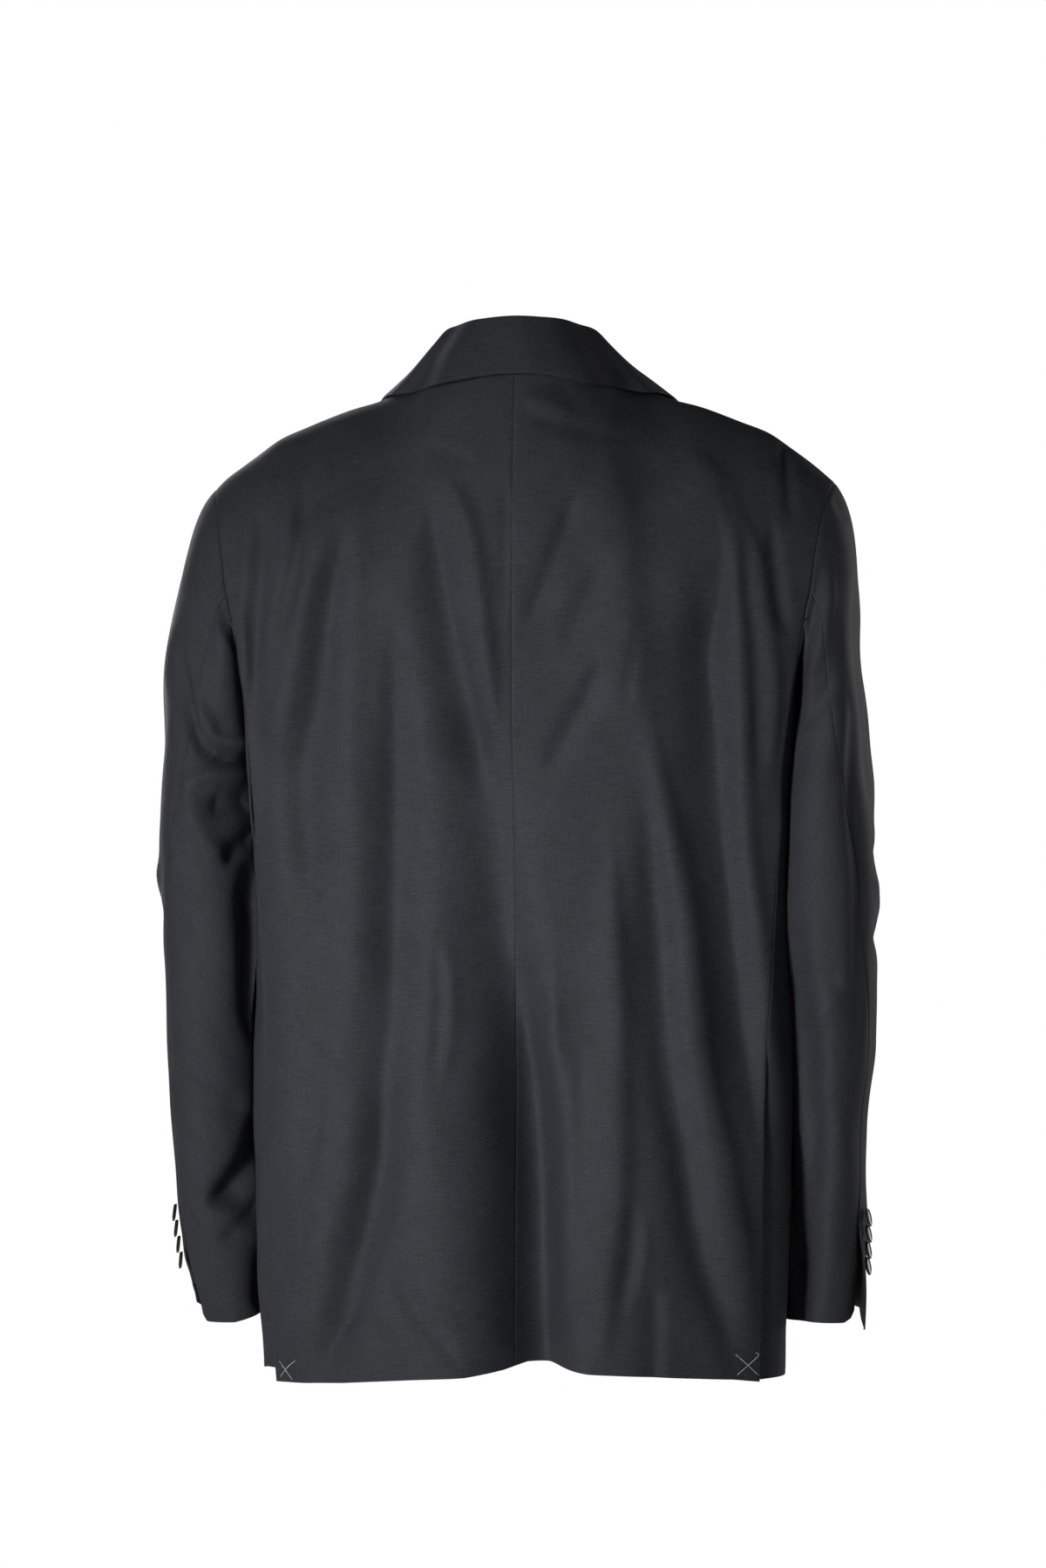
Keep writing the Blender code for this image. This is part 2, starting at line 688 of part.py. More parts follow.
# ---------------------------------------------------------------- pieces laid on the fronts
def lapel_grid(side):
    """Rows from the break up to the gorge, columns from the roll to the outer edge."""
    rows = []
    for r in range(LAPEL_ROWS + 1):
        v = r / LAPEL_ROWS
        roll_z = mix(LAPEL_START_Z, GORGE_Z, v)
        outer_z = mix(LAPEL_START_Z, LAPEL_TIP_Z, v)
        outer_x = LAPEL_START_X + (LAPEL_TIP_X - LAPEL_START_X) * max(v, 0.02) ** LAPEL_BELLY
        row = []
        for c in range(LAPEL_COLUMNS + 1):
            t = c / LAPEL_COLUMNS
            x = mix(roll_x(roll_z), outer_x, t)
            z = mix(roll_z, outer_z, t)
            puff = LAPEL_PUFF * math.sin(math.pi * t) * v
            row.append(on_front(x, z, side, WALL + LAID_GAP + puff))
        rows.append(row)
    return np.array(rows)


def collar_column(index):
    """A collar section on the left half: from the neck seam over the fold to the fall's edge."""
    shape = COLLAR[index]
    neck_places = [share * NECK_HALF for share in NECK_SHARES] + [NECK_HALF]
    if index < len(neck_places):
        x = neck_places[index]
        seam = np.array([x, neck_depth(x), shoulder_top(x)])
        seam = seam * np.array([COLLAR_DRAWN_IN, COLLAR_DRAWN_IN, 1.0]) + np.array([0, 0, COLLAR_RAISED])
    else:
        height = EDGE_HEIGHTS[-1 - (index - len(neck_places) + 1)]
        z = mix(hem_front(0.0), 0.0, row_share(height))
        x = roll_x(z)
        seam = on_front(x - COLLAR_RAISED, z, 1, WALL + LAID_GAP + COLLAR_RAISED)
    inwards = unit(np.array([seam[0], seam[1] * 0.6, 0.0]))
    fold = seam - inwards * shape.fold_in + np.array([0, 0, shape.stand])
    if index > len(neck_places) - 1:
        lean = ease(index, len(neck_places) - 1, len(neck_places) + 3)
        out = front_normal(x, z, 1)
        fold = seam + mix(np.array([0, 0, 1.0]), out, lean) * shape.stand
    if shape.edge_z > shoulder_top(shape.edge_x) - 0.001:
        edge = np.array([shape.edge_x, -0.004, shape.edge_z])
    elif index < len(neck_places):
        edge = on_back(shape.edge_x, shape.edge_z - COLLAR_EDGE_DROP, 1, WALL + COLLAR_EDGE_GAP)
    else:
        edge = on_front(shape.edge_x, shape.edge_z, 1, WALL + 2 * LAID_GAP + 0.001)
    return seam, fold, edge


def collar_line(index, depth):
    """A section from the neck seam over the fold to the fall's edge, at a depth in the wall."""
    seam, fold, edge = collar_column(index)
    up = unit(fold - seam)
    across = edge - fold
    across = unit(across - up * float(across @ up))
    turn = fold + across * COLLAR_FOLD
    fall = unit(edge - turn)
    out = unit(up - fall * float(up @ fall))
    base = seam + across * depth
    top = fold + (across - up) * depth
    crown = mix(fold, turn, 0.5) + up * (COLLAR_CROWN - depth)
    over = turn - (across + up) * depth
    end = edge - out * depth
    line = [mix(base, top, k / COLLAR_STAND_ROWS) for k in range(COLLAR_STAND_ROWS + 1)]
    line.append(crown)
    for k in range(COLLAR_FALL_ROWS + 1):
        t = k / COLLAR_FALL_ROWS
        swell = FALL_SWELL * math.sin(math.pi * t)
        line.append(mix(over, end, t) + np.array([0, 0, swell]))
    return line


def collar_grid(depth):
    """Rows from the neck seam to the fall's edge, columns from left to right."""
    left = np.array([collar_line(index, depth) for index in range(len(COLLAR))])
    right = left[:0:-1] * np.array([-1.0, 1.0, 1.0])
    whole = np.concatenate([left[::-1], right[::-1]], axis=0)
    return np.swapaxes(whole, 0, 1)


def laid_patch(side, x, z, width, drop, rise, columns=4, rows=2):
    """A flat piece on a front: its top edge starts at x, z, runs outwards and rises by rise."""
    grid = []
    for r in range(rows + 1):
        row = []
        for c in range(columns + 1):
            t = c / columns
            here_z = z + rise * t - drop * (1 - r / rows)
            row.append(on_front(x + width * t, here_z, side, WALL + LAID_GAP))
        grid.append(row)
    return np.array(grid)


def add_laid(name, grid, side, material):
    return add_wall(name, grid, unit(-corner_normals(grid, side < 0)), material)


# ---------------------------------------------------------------- buttons
def button_mesh(name, radius, thick):
    """A turned button with a raised rim and a dished middle; its back is at z 0."""
    profile = (
        (0.0, 0.0),
        (0.80 * radius, 0.0),
        (radius, 0.30 * thick),
        (0.97 * radius, 0.80 * thick),
        (0.86 * radius, thick),
        (0.68 * radius, 0.72 * thick),
        (0.0, 0.66 * thick),
    )
    segments = 16
    mesh = bmesh.new()
    rings = []
    for distance, height in profile:
        if distance == 0:
            rings.append([mesh.verts.new((0, 0, height))])
            continue
        ring = []
        for k in range(segments):
            angle = 2 * math.pi * k / segments
            place = (distance * math.cos(angle), distance * math.sin(angle), height)
            ring.append(mesh.verts.new(place))
        rings.append(ring)
    for low, high in zip(rings, rings[1:]):
        for k in range(segments):
            corners = [low[k % len(low)], low[(k + 1) % segments % len(low)]]
            corners += [high[(k + 1) % segments % len(high)], high[k % len(high)]]
            mesh.faces.new(list(dict.fromkeys(corners)))
    bmesh.ops.triangulate(mesh, faces=mesh.faces)
    bmesh.ops.recalc_face_normals(mesh, faces=mesh.faces)
    data = bpy.data.meshes.new(name)
    mesh.to_mesh(data)
    mesh.free()
    return data


def facing(normal, upwards, tilt=0.0):
    """A turn that points Z along normal and Y along upwards, then tips the lower edge out."""
    z_axis = Vector(normal).normalized()
    x_axis = Vector(upwards).cross(z_axis).normalized()
    y_axis = z_axis.cross(x_axis)
    frame = Matrix((x_axis, y_axis, z_axis)).transposed()
    return frame.to_4x4() @ Matrix.Rotation(tilt, 4, "X")


def add_button(name, place, turn, radius, thick, material):
    thing = add_object(name, button_mesh(name, radius, thick), material)
    thing.matrix_world = Matrix.Translation(Vector(place)) @ turn
    return thing


def add_front_buttons(material):
    for number, z in enumerate(FRONT_BUTTON_HEIGHTS, 1):
        normal = front_normal(0.0, z, 1)
        place = on_front(0.0, z, 1, LAID_GAP)
        turn = facing(normal, (0, 0, 1))
        name = f"front_button_{number}"
        add_button(name, place, turn, FRONT_BUTTON_RADIUS, FRONT_BUTTON_THICK, material)


def add_cuff_buttons(side, grid, normals, material):
    """Four buttons that lap over each other beside the vent, on the top sleeve's edge."""
    word = "left" if side > 0 else "right"
    edge = grid[:, -1]
    beside = grid[:, -2]
    before = grid[:, -4]
    for number in range(4):
        z = CUFF_BUTTON_FIRST_Z - CUFF_BUTTON_PITCH * number
        heights = edge[:, 2][::-1]
        middle = mix(beside, before, 0.6)
        place = np.array([np.interp(z, heights, middle[::-1, axis]) for axis in range(3)])
        normal = [np.interp(z, heights, normals[::-1, -3, axis]) for axis in range(3)]
        normal = unit(np.array(normal))
        lift = CUFF_BUTTON_GAP + CUFF_BUTTON_RADIUS * math.sin(CUFF_BUTTON_TILT)
        turn = facing(normal, (0, 0, 1), -CUFF_BUTTON_TILT)
        name = f"cuff_button_{word}_{number + 1}"
        place = place + normal * lift
        add_button(name, place, turn, CUFF_BUTTON_RADIUS, CUFF_BUTTON_THICK, material)


# ---------------------------------------------------------------- materials
def add_material(name, colour, roughness):
    material = bpy.data.materials.new(name)
    material.use_nodes = True
    shader = material.node_tree.nodes["Principled BSDF"]
    shader.inputs["Base Color"].default_value = (*colour, 1.0)
    shader.inputs["Roughness"].default_value = roughness
    shader.inputs["Metallic"].default_value = 0.0
    return material


# ---------------------------------------------------------------- the jacket
def side_panels(side):
    """The five panels of one half, back to sleeve."""
    word = "left" if side > 0 else "right"
    flip = side < 0
    back = back_grid(side)
    side_body = side_grid(side)
    front = front_grid(side)
    loop = armhole_loop(back, side_body, front)
    sleeve = sleeve_grid(side, loop)
    around = np.concatenate([sleeve[:, FORE:-1], sleeve[:, : HIND + 1]], axis=1)
    under = sleeve[:, HIND : FORE + 1]
    return (
        Panel(f"back_{word}", back, flip, "body"),
        Panel(f"side_{word}", side_body, flip, "body"),
        Panel(f"front_{word}", front, flip, "body"),
        Panel(f"top_sleeve_{word}", around, flip, "sleeve"),
        Panel(f"under_sleeve_{word}", under, flip, "sleeve"),
    )


def main():
    for thing in list(bpy.data.objects):
        bpy.data.objects.remove(thing, do_unlink=True)
    cloth = add_material("suit_cloth", CLOTH_COLOUR, 0.62)
    button = add_material("button_horn", BUTTON_COLOUR, 0.30)
    panels = side_panels(1) + side_panels(-1)
    normals = shared_normals(panels)
    for panel in panels:
        grid = panel.grid.copy()
        normal, inset = normals[panel.name]
        if "top_sleeve" in panel.name:
            cuff_vent(grid, normal, grid.shape[1] - 1, -1, CUFF_FLARE)
            side = 1 if panel.name.endswith("left") else -1
            add_cuff_buttons(side, grid, normal, button)
        elif "under_sleeve" in panel.name:
            cuff_vent(grid, normal, 0, 1, -CUFF_TUCK)
        add_wall(panel.name, grid, normal, cloth, inset)
    for side, word in ((1, "left"), (-1, "right")):
        lapel = lapel_grid(side)
        add_laid(f"lapel_{word}", lapel, side, cloth)
        flap = laid_patch(side, FLAP_X, FLAP_Z, FLAP_WIDTH, FLAP_DROP, 0.0)
        add_laid(f"pocket_flap_{word}", flap, side, cloth)
    welt = laid_patch(1, WELT_X, WELT_Z, WELT_WIDTH, WELT_DROP, WELT_RISE)
    add_laid("breast_welt", welt, 1, cloth)
    outside = leaned(collar_grid(0.0))
    inside = leaned(collar_grid(WALL))
    add_object("collar", wall_mesh("collar", outside, inside), cloth)
    add_front_buttons(button)


main()
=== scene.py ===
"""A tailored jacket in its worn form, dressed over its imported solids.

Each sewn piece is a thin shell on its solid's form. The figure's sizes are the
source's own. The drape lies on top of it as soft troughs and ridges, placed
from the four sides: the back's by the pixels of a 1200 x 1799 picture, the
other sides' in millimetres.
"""

import math
from collections import namedtuple

import bpy
import numpy as np
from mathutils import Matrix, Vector


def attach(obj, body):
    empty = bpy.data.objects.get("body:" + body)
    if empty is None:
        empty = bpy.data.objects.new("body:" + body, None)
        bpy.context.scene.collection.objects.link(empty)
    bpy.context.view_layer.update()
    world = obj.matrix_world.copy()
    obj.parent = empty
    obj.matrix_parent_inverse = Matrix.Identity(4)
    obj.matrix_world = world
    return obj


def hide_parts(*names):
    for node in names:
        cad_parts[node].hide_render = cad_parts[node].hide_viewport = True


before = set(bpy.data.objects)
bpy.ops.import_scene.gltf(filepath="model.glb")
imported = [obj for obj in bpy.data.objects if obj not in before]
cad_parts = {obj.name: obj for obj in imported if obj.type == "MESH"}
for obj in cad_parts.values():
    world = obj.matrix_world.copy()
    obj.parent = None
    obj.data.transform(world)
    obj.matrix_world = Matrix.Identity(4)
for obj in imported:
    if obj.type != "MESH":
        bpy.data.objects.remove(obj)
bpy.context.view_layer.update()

# ---------------------------------------------------------------- sizes, as in the source
CLOTH = 0.0018
SEAM_GAP = 0.0003
LAID_GAP = 0.0008

NECK_HALF = 0.076
NECK_BACK = 0.087
NAPE_Z = 0.002
SHOULDER_HALF = 0.245
SHOULDER_Z = -0.092

ARMHOLE_Z = -0.180
ARMHOLE_HALF_HEIGHT = 0.088
ARMHOLE_BACK = 0.080
ARMHOLE_FRONT = 0.072
NOTCH_ANGLE = math.radians(-13)

FRONT_OVERLAP = 0.020
BREAK_Z = -0.415
CORNER_Z = -0.560
CORNER_RUN = 0.075
UNDER_FRONT_DROP = 0.006

VENT_TOP_Z = -0.518
VENT_DROP = 0.0036
VENT_PART = 0.0008
VENT_LAP = 0.010
VENT_HEM_STEP = {1: 0.0065, -1: 0.0015}
VENT_OPENS = (0.035, 0.075)  # below its top: dropped in, then lapped under
VENT_HEM = (0.20, 0.27)
SLEEVE_CLEAR = 0.0009
SLEEVE_PRESS = 0.007  # how far the sleeves' inner sides lie nearer the body than its rings
SHOULDER_LIFT = {1: 0.0008, -1: 0.0024}
LEAN_ACROSS = (0.09, 0.20)  # between which the lift grows from nothing
LEAN_UP = (-0.36, -0.10)
CAP_Z = -0.300
BODY_ROUNDING = 3.0
RING_POWER = 2.3
CHEST_Z = -0.200  # where the body starts to round in towards the shoulders
ROUND_IN = (1.7, 2.0)  # at the middle and at the edge
ROUND_OUT = (1.6, 2.0)
NECK_POWER = 2.2
UNDER_FRONT_ACROSS = (0.020, 0.075)
UNDER_FRONT_DOWN = (0.100, 0.360)
HEM_BACK_Z = -0.7885
HEM_BACK_RISE = 0.0085
HEM_FRONT_Z = -0.792
HEM_FRONT_DROP = 0.012
HEM_RUN = 0.12
CORNER_POWERS = (2.6, 1.6)

BodyRow = namedtuple("BodyRow", "z side back_depth front_depth")
BODY = (
    BodyRow(-0.810, 0.2035, 0.125, 0.120),
    BodyRow(-0.740, 0.2070, 0.125, 0.120),
    BodyRow(-0.670, 0.2090, 0.123, 0.118),
    BodyRow(-0.600, 0.2120, 0.119, 0.115),
    BodyRow(-0.530, 0.2125, 0.114, 0.112),
    BodyRow(-0.430, 0.2090, 0.109, 0.112),
    BodyRow(-0.360, 0.2100, 0.111, 0.118),
    BodyRow(-0.310, 0.2135, 0.116, 0.126),
    BodyRow(-0.260, 0.2170, 0.121, 0.132),
    BodyRow(-0.200, 0.2200, 0.124, 0.134),
    BodyRow(-0.100, 0.2300, 0.124, 0.130),
)

SeamRow = namedtuple("SeamRow", "z back_x back_y front_x front_y")
SIDE_SEAMS = (
    SeamRow(-0.810, 0.1880, 0.068, 0.1930, 0.058),
    SeamRow(-0.660, 0.1910, 0.067, 0.1955, 0.056),
    SeamRow(-0.527, 0.1940, 0.065, 0.1985, 0.052),
    SeamRow(-0.430, 0.1990, 0.064, 0.2000, 0.050),
    SeamRow(-0.370, 0.2040, 0.068, 0.2030, 0.054),
    SeamRow(-0.300, 0.2095, 0.075, 0.2080, 0.062),
    SeamRow(-0.250, 0.2145, 0.079, 0.2125, 0.068),
    SeamRow(-0.200, 0.2225, 0.080, 0.2200, 0.072),
    SeamRow(-0.174, 0.2280, 0.080, 0.2260, 0.072),
    SeamRow(-0.150, 0.2310, 0.080, 0.2300, 0.072),
    SeamRow(-0.124, 0.2355, 0.080, 0.2350, 0.072),
    SeamRow(-0.106, 0.2400, 0.080, 0.2400, 0.072),
    SeamRow(-0.092, 0.2450, 0.080, 0.2450, 0.072),
)

ShoulderRow = namedtuple("ShoulderRow", "x z")
SHOULDER = (
    ShoulderRow(0.076, 0.000),
    ShoulderRow(0.112, -0.0212),
    ShoulderRow(0.140, -0.0300),
    ShoulderRow(0.173, -0.0435),
    ShoulderRow(0.192, -0.0515),
    ShoulderRow(0.211, -0.0645),
    ShoulderRow(0.229, -0.0780),
    ShoulderRow(0.245, -0.0920),
)

RingRow = namedtuple("RingRow", "z inner outer_left outer_right front back hind_degrees")
RINGS = (
    RingRow(-0.752, 0.2060, 0.2690, 0.2665, -0.113, 0.012, 34),
    RingRow(-0.680, 0.2080, 0.2795, 0.2690, -0.110, 0.028, 32),
    RingRow(-0.600, 0.2090, 0.2850, 0.2695, -0.106, 0.044, 32),
    RingRow(-0.530, 0.2080, 0.2872, 0.2770, -0.100, 0.058, 34),
    RingRow(-0.450, 0.2070, 0.2880, 0.2780, -0.092, 0.070, 42),
    RingRow(-0.380, 0.2080, 0.2905, 0.2765, -0.087, 0.077, 50),
    RingRow(-0.340, 0.2090, 0.2885, 0.2735, -0.086, 0.079, 62),
    RingRow(-0.300, 0.2120, 0.2870, 0.2705, -0.086, 0.079, 76),
)
FORE_DEGREES = 240
CAP_OUT = {1: 0.098, -1: 0.078}
CAP_BACK_OUT = 0.045
CAP_LEAST_OUT = 0.006
CAP_LEAVE_DROP = 0.5
CAP_ARRIVE_DROP = 0.9
CAP_STEP = 0.030

CUFF_VENT_Z = -0.630
CUFF_FLARE = {1: 0.005, -1: 0.006}
CUFF_FLARE_FROM = {1: 0.030, -1: 0.0}
CUFF_LAP = {1: 0.0, -1: 0.007}
CUFF_TUCK = 0.0015
# How much higher the cuff's end is than the last ring, by distance from the vent: (away, up) in mm.
CUFF_CUT = {
    ("top_sleeve", 1): ((0, 27), (12, 10), (25, 9), (60, 2)),
    ("under_sleeve", 1): ((0, 22), (3, 9), (8, 3), (18, -2), (45, -1), (70, 6)),
    ("top_sleeve", -1): ((0, 1.5), (18, 16), (60, 5)),
    ("under_sleeve", -1): ((0, 12), (8, 5), (18, 2), (60, 4)),
}
CUFF_REACH = 0.060

CollarRow = namedtuple("CollarRow", "share stand fold_in edge_x edge_z")
COLLAR = (
    CollarRow(0.00, 0.0315, 0.001, 0.000, -0.0080),
    CollarRow(0.26, 0.0310, 0.002, 0.030, -0.0105),
    CollarRow(0.50, 0.0300, 0.006, 0.057, -0.0145),
    CollarRow(0.71, 0.0285, 0.0075, 0.080, -0.0178),
    CollarRow(0.87, 0.0235, 0.0085, 0.099, -0.0190),
    CollarRow(1.00, 0.0090, 0.0080, 0.1120, -0.0170),
    CollarRow(None, 0.0078, 0.0060, 0.121, -0.0300),
    CollarRow(None, 0.0065, 0.0040, 0.128, -0.0460),
    CollarRow(None, 0.0055, 0.002, 0.132, -0.0640),
    CollarRow(None, 0.0048, 0.001, 0.132, -0.0830),
    CollarRow(None, 0.0042, 0.000, 0.127, -0.1000),
)
COLLAR_EDGE_DROP = 0.0045
COLLAR_EDGE_GAP = 0.0040
COLLAR_DRAWN_IN = 0.975
COLLAR_RAISED = 0.0012
COLLAR_FOLD = 0.0048
COLLAR_CROWN = 0.0006
COLLAR_STAND_ROWS = 3
COLLAR_FALL_ROWS = 5
COLLAR_FINE_ROWS = 71
COLLAR_FINE_COLUMNS = 241
FALL_SWELL = 0.0015

LAPEL_TIP_X = 0.142
LAPEL_TIP_Z = -0.134
LAPEL_BELLY = 0.85
LAPEL_START_Z = BREAK_Z + 0.010
LAPEL_START_X = -FRONT_OVERLAP + 0.004
LAPEL_PUFF = 0.003
GORGE_Z = -0.064

FLAP_WIDTH = 0.108
FLAP_DROP = 0.052
FLAP_X = 0.082
FLAP_Z = -0.535
WELT_X = 0.106
WELT_Z = -0.232
WELT_WIDTH = 0.086
WELT_DROP = 0.024
WELT_RISE = 0.010
PATCH_CROWN = 0.0008

# ---------------------------------------------------------------- the picture
PICTURE = (1200, 1799)
AZIMUTH = math.radians(185)
DISTANCE = 3.5
AIM = np.array([0.0017, 0.0, -0.326])
VIEW_HEIGHT = 1.2413  # metres across the picture's height at the aim
TO_CAMERA = np.array([math.sin(AZIMUTH), -math.cos(AZIMUTH), 0.0])
CAMERA = AIM + DISTANCE * TO_CAMERA
PICTURE_RIGHT = np.array([-TO_CAMERA[1], TO_CAMERA[0], 0.0])


def to_picture(points):
    """Pixels, x to the right and y down, of points."""
    offset = points - CAMERA
    depth = -(offset @ TO_CAMERA)
    per_pixel = VIEW_HEIGHT / PICTURE[1] / DISTANCE * depth
    x = PICTURE[0] / 2 + offset @ PICTURE_RIGHT / per_pixel
    y = PICTURE[1] / 2 - offset[..., 2] / per_pixel
    return np.stack([x, y], axis=-1)


# The back's hem, as pixels of the picture.
HEM_LINE = (
    (305, 1584),
    (357, 1586.5),
    (393, 1587),
    (468, 1584),
    (532, 1582),
    (575, 1576),
    (600, 1570),
    (627, 1571),
    (675, 1578),
    (788, 1582),
    (841, 1583),
    (890, 1587),
)
HEM_PIXEL = 0.000667  # metres to a pixel at the hem
HEM_REACH = 0.080

# ---------------------------------------------------------------- the drape
# Each fold is a line, drawn downwards or to the right along a ridge's crest or a trough's
# bottom. height is in mm, outwards; left and right are its half widths to either side of the
# line as it is seen, or below and above one that runs across.
Fold = namedtuple("Fold", "height left right path")
# The back of the body, in pixels of the picture.
BACK_FOLDS = (
    # left shoulder blade and armhole
    Fold(-4.0, 10, 9, ((350, 556), (348, 613), (336, 680), (324, 740))),
    Fold(2.5, 9, 8, ((333, 560), (331, 615), (323, 660), (316, 700), (308, 760))),
    Fold(-3.5, 9, 8, ((306, 572), (300, 630), (297, 693), (294, 753), (296, 800))),
    Fold(2.5, 8, 8, ((288, 585), (284, 640), (279, 700), (281, 745), (284, 820))),
    Fold(-1.5, 6, 5, ((275, 573), (269, 640))),
    Fold(5.0, 24, 20, (
        (434, 545), (398, 585), (372, 620), (356, 665), (349, 705), (344, 745), (335, 790), (324, 840),
        (314, 900),
    )),
    Fold(8.0, 60, 60, (
        (372, 560), (354, 700), (350, 900), (355, 1100), (352, 1300), (350, 1500), (350, 1700),
    )),
    Fold(-9.0, 18, 24, (
        (398, 604), (385, 660), (376, 705), (371, 760), (362, 820), (353, 870), (350, 915), (356, 965),
        (358, 1060),
    )),
    Fold(4.5, 20, 20, (
        (428, 552), (410, 612), (402, 665), (399, 720), (401, 800), (406, 900), (410, 1000), (408, 1100),
        (398, 1190), (380, 1260),
    )),
    Fold(-1.5, 13, 12, ((404, 615), (402, 700), (404, 810))),
    Fold(2.5, 18, 22, ((318, 900), (322, 980), (330, 1080), (336, 1200), (338, 1320))),
    # long folds left of the centre
    Fold(-10.5, 20, 32, (
        (450, 690), (453, 780), (453, 860), (453, 940), (453, 1020), (450, 1100), (447, 1180), (436, 1255),
        (429, 1340), (411, 1420), (392, 1500), (374, 1560), (362, 1610),
    )),
    Fold(-7.0, 20, 30, ((438, 1230), (429, 1340), (411, 1420), (392, 1500), (374, 1560), (362, 1610))),
    Fold(3.5, 34, 34, (
        (484, 700), (475, 780), (476, 860), (476, 940), (478, 1020), (478, 1100), (474, 1180), (478, 1260),
        (494, 1340), (500, 1420), (505, 1500), (510, 1580),
    )),
    Fold(5.0, 18, 12, ((500, 530), (524, 568), (541, 618), (552, 690), (560, 760), (570, 830))),
    Fold(-9.0, 26, 15, ((488, 560), (499, 620), (512, 700), (530, 780), (545, 850), (553, 920))),
    Fold(-11.0, 46, 26, (
        (520, 780), (548, 860), (566, 940), (578, 1020), (592, 1100), (602, 1180), (606, 1240),
    )),
    Fold(-12.0, 60, 30, (
        (560, 970), (574, 1070), (590, 1150), (602, 1220), (611, 1300), (614, 1380), (616, 1460),
        (619, 1560), (624, 1760),
    )),
    Fold(-38.0, 52, 24, (
        (586, 1110), (598, 1175), (608, 1235), (615, 1300), (619, 1380), (621, 1460), (624, 1560),
        (629, 1800),
    )),
    Fold(1.5, 9, 9, ((510, 1070), (518, 1125), (518, 1180), (506, 1250))),
    Fold(-1.5, 9, 8, ((501, 1080), (504, 1170), (494, 1240))),
    Fold(-1.5, 9, 7, ((577, 545), (581, 600), (579, 650), (581, 705))),
    Fold(-1.5, 14, 12, ((362, 1150), (357, 1240), (360, 1320), (357, 1430))),
    # lower left
    Fold(-2.5, 10, 9, ((374, 1245), (362, 1325), (342, 1368))),
    Fold(-2.0, 10, 9, ((357, 1390), (348, 1450))),
    Fold(-2.5, 10, 10, ((378, 1545), (398, 1510), (420, 1495), (447, 1520), (468, 1540))),
    Fold(-3.0, 11, 10, ((446, 1445), (472, 1495), (498, 1530), (530, 1572))),
    # under the collar
    Fold(-1.5, 7, 7, ((600, 443), (630, 441), (660, 449))),
    Fold(2.0, 9, 8, ((598, 457), (625, 463), (662, 476))),
    Fold(-2.5, 10, 9, ((600, 477), (640, 486), (680, 495), (730, 502))),
    Fold(-1.5, 10, 9, ((486, 504), (512, 521), (548, 527))),
    # right of the centre
    Fold(-3.5, 13, 10, ((664, 560), (649, 604), (634, 645), (620, 682), (600, 720))),
    Fold(-3.0, 15, 12, ((697, 636), (684, 668), (665, 705), (646, 746))),
    Fold(-4.5, 15, 12, ((690, 755), (672, 806), (650, 845), (624, 890))),
    Fold(5.0, 34, 22, ((680, 500), (704, 560), (716, 630), (720, 700), (723, 780), (728, 870))),
    Fold(-1.5, 8, 8, ((730, 722), (722, 775), (718, 815))),
    Fold(6.0, 24, 17, (
        (742, 770), (750, 860), (764, 930), (776, 990), (788, 1055), (796, 1120), (803, 1190), (814, 1260),
        (828, 1320), (840, 1390), (852, 1450), (860, 1520), (864, 1590),
    )),
    Fold(-14.0, 42, 15, (
        (812, 560), (828, 640), (825, 700), (817, 755), (820, 800), (825, 850), (828, 900), (834, 960),
        (841, 1020), (848, 1080), (856, 1140), (863, 1210), (868, 1280), (872, 1350),
    )),
    Fold(4.0, 11, 14, (
        (802, 508), (824, 545), (841, 575), (846, 630), (848, 700), (850, 800), (851, 900), (857, 980),
        (867, 1060), (876, 1140), (880, 1230),
    )),
    Fold(5.0, 26, 13, ((780, 503), (805, 535), (824, 580), (832, 640), (836, 720))),
    Fold(-2.0, 9, 9, ((848, 620), (858, 700), (867, 780), (869, 910))),
    Fold(3.5, 10, 9, ((842, 577), (866, 632), (875, 697), (886, 757), (888, 820), (884, 900))),
    Fold(-3.5, 8, 7, ((895, 505), (904, 550), (909, 605))),
    Fold(-4.5, 10, 8, ((884, 595), (893, 665), (900, 713), (912, 738))),
    # lower right
    Fold(-10.0, 27, 16, (
        (742, 880), (750, 980), (757, 1060), (763, 1140), (768, 1200), (779, 1270), (790, 1330),
        (800, 1400), (815, 1460), (834, 1520), (846, 1590),
    )),
    Fold(6.0, 24, 15, (
        (700, 950), (704, 1040), (708, 1120), (710, 1220), (711, 1320), (706, 1400), (697, 1480),
        (690, 1590),
    )),
    Fold(-2.5, 13, 12, ((668, 1190), (668, 1310), (666, 1420), (659, 1550))),
    Fold(5.0, 15, 16, (
        (634, 1090), (633, 1200), (634, 1300), (638, 1380), (640, 1460), (637, 1530), (634, 1600),
    )),
    Fold(1.5, 9, 7, ((741, 1390), (740, 1445), (731, 1485), (718, 1520))),
    Fold(-1.5, 10, 8, ((726, 1370), (724, 1440), (712, 1500))),
    Fold(-4.0, 16, 10, ((752, 1470), (753, 1530), (751, 1600))),
)
